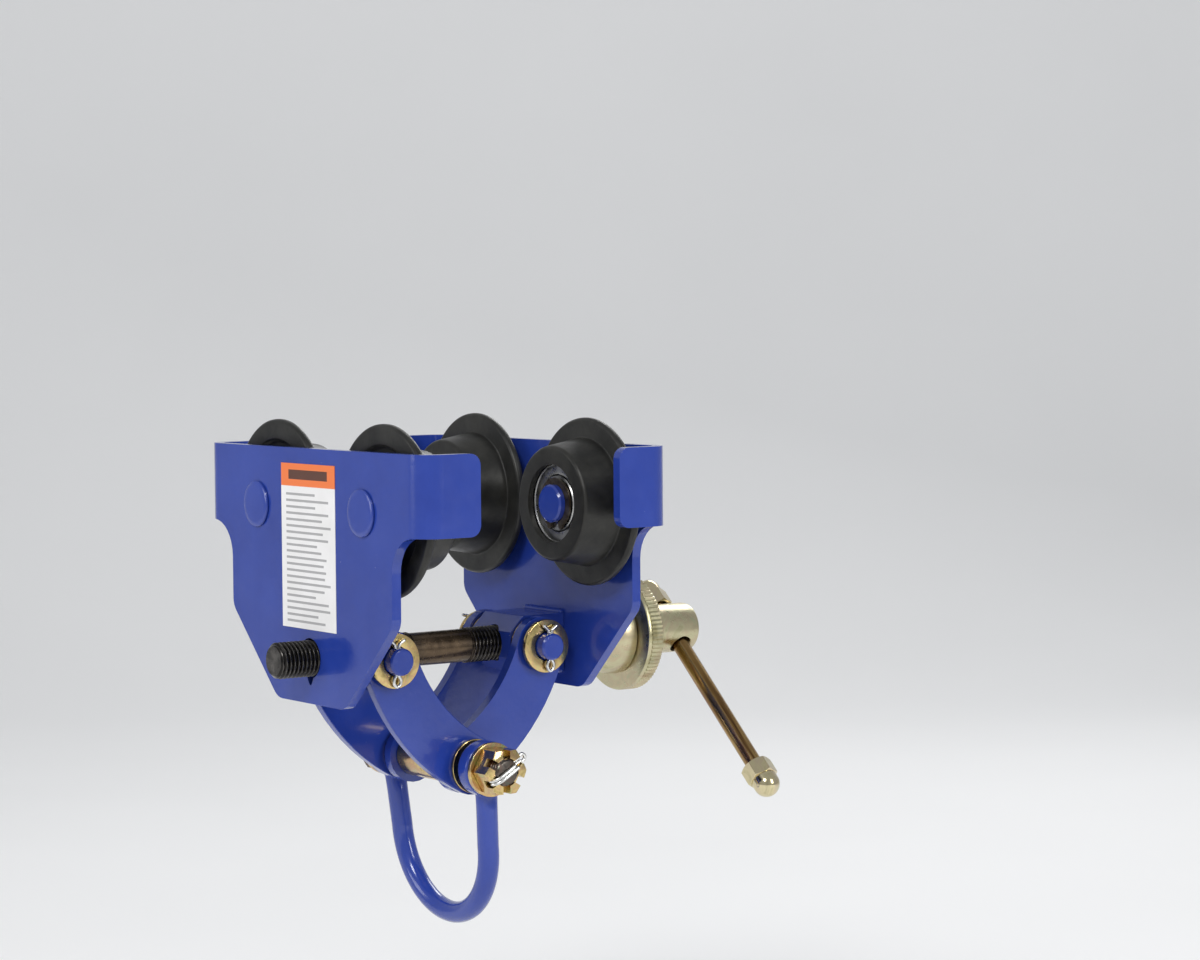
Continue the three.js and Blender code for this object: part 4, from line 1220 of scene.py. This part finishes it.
# ---- welds
def make_weld(side):
    """A fillet weld with ripples along the top and bottom of each trunnion block."""
    block, plate = f"{side}_trunnion_block", f"{side}_plate"
    out = outward(side)
    inner_face = out * (reach_out(plate)[1] - SHEET)
    half, steps = 13.5 * MM, 60
    bead, off_plate, off_block = 1.3 * MM, 0.9 * MM, 0.5 * MM
    ripple, ripple_depth, unevenness = 1.1 * MM, 0.22 * MM, 0.12
    rng = random.Random(7 if side == "front" else 11)
    for place, edge, way in (("top", high(block).z, 1), ("bottom", low(block).z, -1)):
        points = []
        for i in range(steps + 1):
            x = -half + 2 * half * i / steps
            jitter = rng.uniform(-unevenness, unevenness) * MM
            points.append(Vector((x, inner_face - out * off_plate, edge + way * off_block + jitter)))
        obj = sweep(f"{side}_weld_{place}", points, bead, 14)
        for vert in obj.data.vertices:
            wave = 0.5 + 0.5 * math.cos(2 * math.pi * vert.co.x / ripple)
            vert.co.z -= way * ripple_depth * wave
        paint(obj, "blue_paint")
        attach(obj, f"{side}_side")


# ---- build everything
for side in SIDES:
    for hand in HANDS:
        make_wheel(side, hand)
        make_bearing(side, hand)
        make_axle(side, hand)
        make_ring(f"{side}_inner_washer_{hand}")
        make_ring(f"{side}_outer_washer_{hand}")
        make_split_pin(f"{side}_split_pin_{hand}")
        dress(f"{side}_circlip_{hand}", "black_oxide", 0.12 * MM)
        dress(f"{side}_arm_{hand}", "blue_paint", 0.6 * MM, 3)
    dress(f"{side}_plate", "blue_paint", 0.7 * MM, 3)
    dress(f"{side}_trunnion_block", "blue_paint", 0.5 * MM, 3)
    make_weld(side)
for name in ("middle_washer_left", "middle_washer_right", "side_washer_left", "side_washer_right"):
    make_ring(name, 0.3 * MM)
for name in ("head_washer", "nut_washer", "spacer_tube"):
    make_ring(name)
make_nut_split_pin()
make_bolt()
make_castle_nut()
make_shackle()
make_spindle()
make_collar()
make_knob()
bar_origin, bar_axis, bar_first, bar_last = make_tommy_bar()
NUT_GRIP = 10 * MM
make_cap_nut("cap_nut_lower", bar_origin, bar_axis, bar_last - NUT_GRIP, False)
make_cap_nut("cap_nut_upper", bar_origin, bar_axis, -bar_first - NUT_GRIP, True)
dress("hub_pin", "black_oxide", 0.25 * MM)
dress("label", "label")


# ---- studio
CAMERA_PLACE = Vector((1126.1, -736.0, 109.5)) * MM
CAMERA_AZIMUTH = math.radians(53.66)
CAMERA_DOWN = math.radians(3.16)
CAMERA_ROLL = math.radians(-0.387)
CAMERA_LENS = 90.28  # on a 36 mm sensor
CAMERA_AWAY = Vector((-math.sin(CAMERA_AZIMUTH), math.cos(CAMERA_AZIMUTH), 0))


def make_floor():
    """A pale floor that curves up into a backdrop behind the object."""
    near, depth, height, curve, half_width = -2.6, 1.6, 3.2, 0.9, 5.0
    drop = 0.12  # the object hangs this far above the floor
    floor_z = cad_bounds[0][2] - drop
    profile = [(near, 0.0), (depth, 0.0)]
    steps = 16
    for i in range(1, steps + 1):
        turn = math.pi / 2 * i / steps
        profile.append((depth + curve * math.sin(turn), curve * (1 - math.cos(turn))))
    profile.append((depth + curve, height))
    side = Vector((CAMERA_AWAY.y, -CAMERA_AWAY.x, 0))
    verts = []
    for along, up in profile:
        for across in (-half_width, half_width):
            verts.append(CAMERA_AWAY * along + side * across + Vector((0, 0, floor_z + up)))
    faces = [(2 * i, 2 * i + 1, 2 * i + 3, 2 * i + 2) for i in range(len(profile) - 1)]
    floor = mesh_object("floor", verts, faces, 60)
    m = Nodes("floor")
    tone = m.ramp(m.noise(3, detail=2), (0.3, (0.92, 0.92, 0.92)), (0.7, (0.94, 0.94, 0.94)))
    floor.data.materials.append(m.set(color=tone, rough=0.85))


def make_lamp(name, place, target, power, width, height):
    """A rectangular soft lamp aimed at the target."""
    data = bpy.data.lights.new(name, "AREA")
    data.shape = "RECTANGLE"
    data.size = width
    data.size_y = height
    data.energy = power
    obj = bpy.data.objects.new(name, data)
    obj.location = place
    obj.rotation_euler = (Vector(target) - Vector(place)).to_track_quat("-Z", "Y").to_euler()
    bpy.context.scene.collection.objects.link(obj)


def make_camera():
    """Looks from the right front, a little above, as the object was first seen."""
    data = bpy.data.cameras.new("camera")
    data.lens = CAMERA_LENS
    data.sensor_width = 36
    data.clip_start = 0.01
    data.clip_end = 50
    camera = bpy.data.objects.new("camera", data)
    forward = CAMERA_AWAY * math.cos(CAMERA_DOWN) - Vector((0, 0, math.sin(CAMERA_DOWN)))
    aim = forward.to_track_quat("-Z", "Y").to_matrix() @ Matrix.Rotation(CAMERA_ROLL, 3, "Z")
    camera.matrix_world = Matrix.Translation(CAMERA_PLACE) @ aim.to_4x4()
    bpy.context.scene.collection.objects.link(camera)
    bpy.context.scene.camera = camera


def make_world():
    """A faint cool light from everywhere."""
    world = bpy.data.worlds.new("studio")
    bpy.context.scene.world = world
    world.use_nodes = True
    back = world.node_tree.nodes["Background"]
    back.inputs["Color"].default_value = (0.95, 0.97, 1.0, 1)
    back.inputs["Strength"].default_value = 0.44


make_camera()
make_floor()
make_world()
make_lamp("key", (0.9, -1.3, 1.3), (0, 0, -0.03), 17, 0.6, 0.6)
make_lamp("side", (1.5, 0.5, 0.6), (0, 0, -0.05), 10, 0.25, 0.9)
make_lamp("front", (-0.6, -1.5, 0.4), (0, 0, 0), 5, 0.6, 0.8)
make_lamp("back", (-0.8, 1.3, 1.0), (0, 0, 0), 8, 0.9, 0.5)

scene = bpy.context.scene
scene.view_settings.view_transform = "Standard"
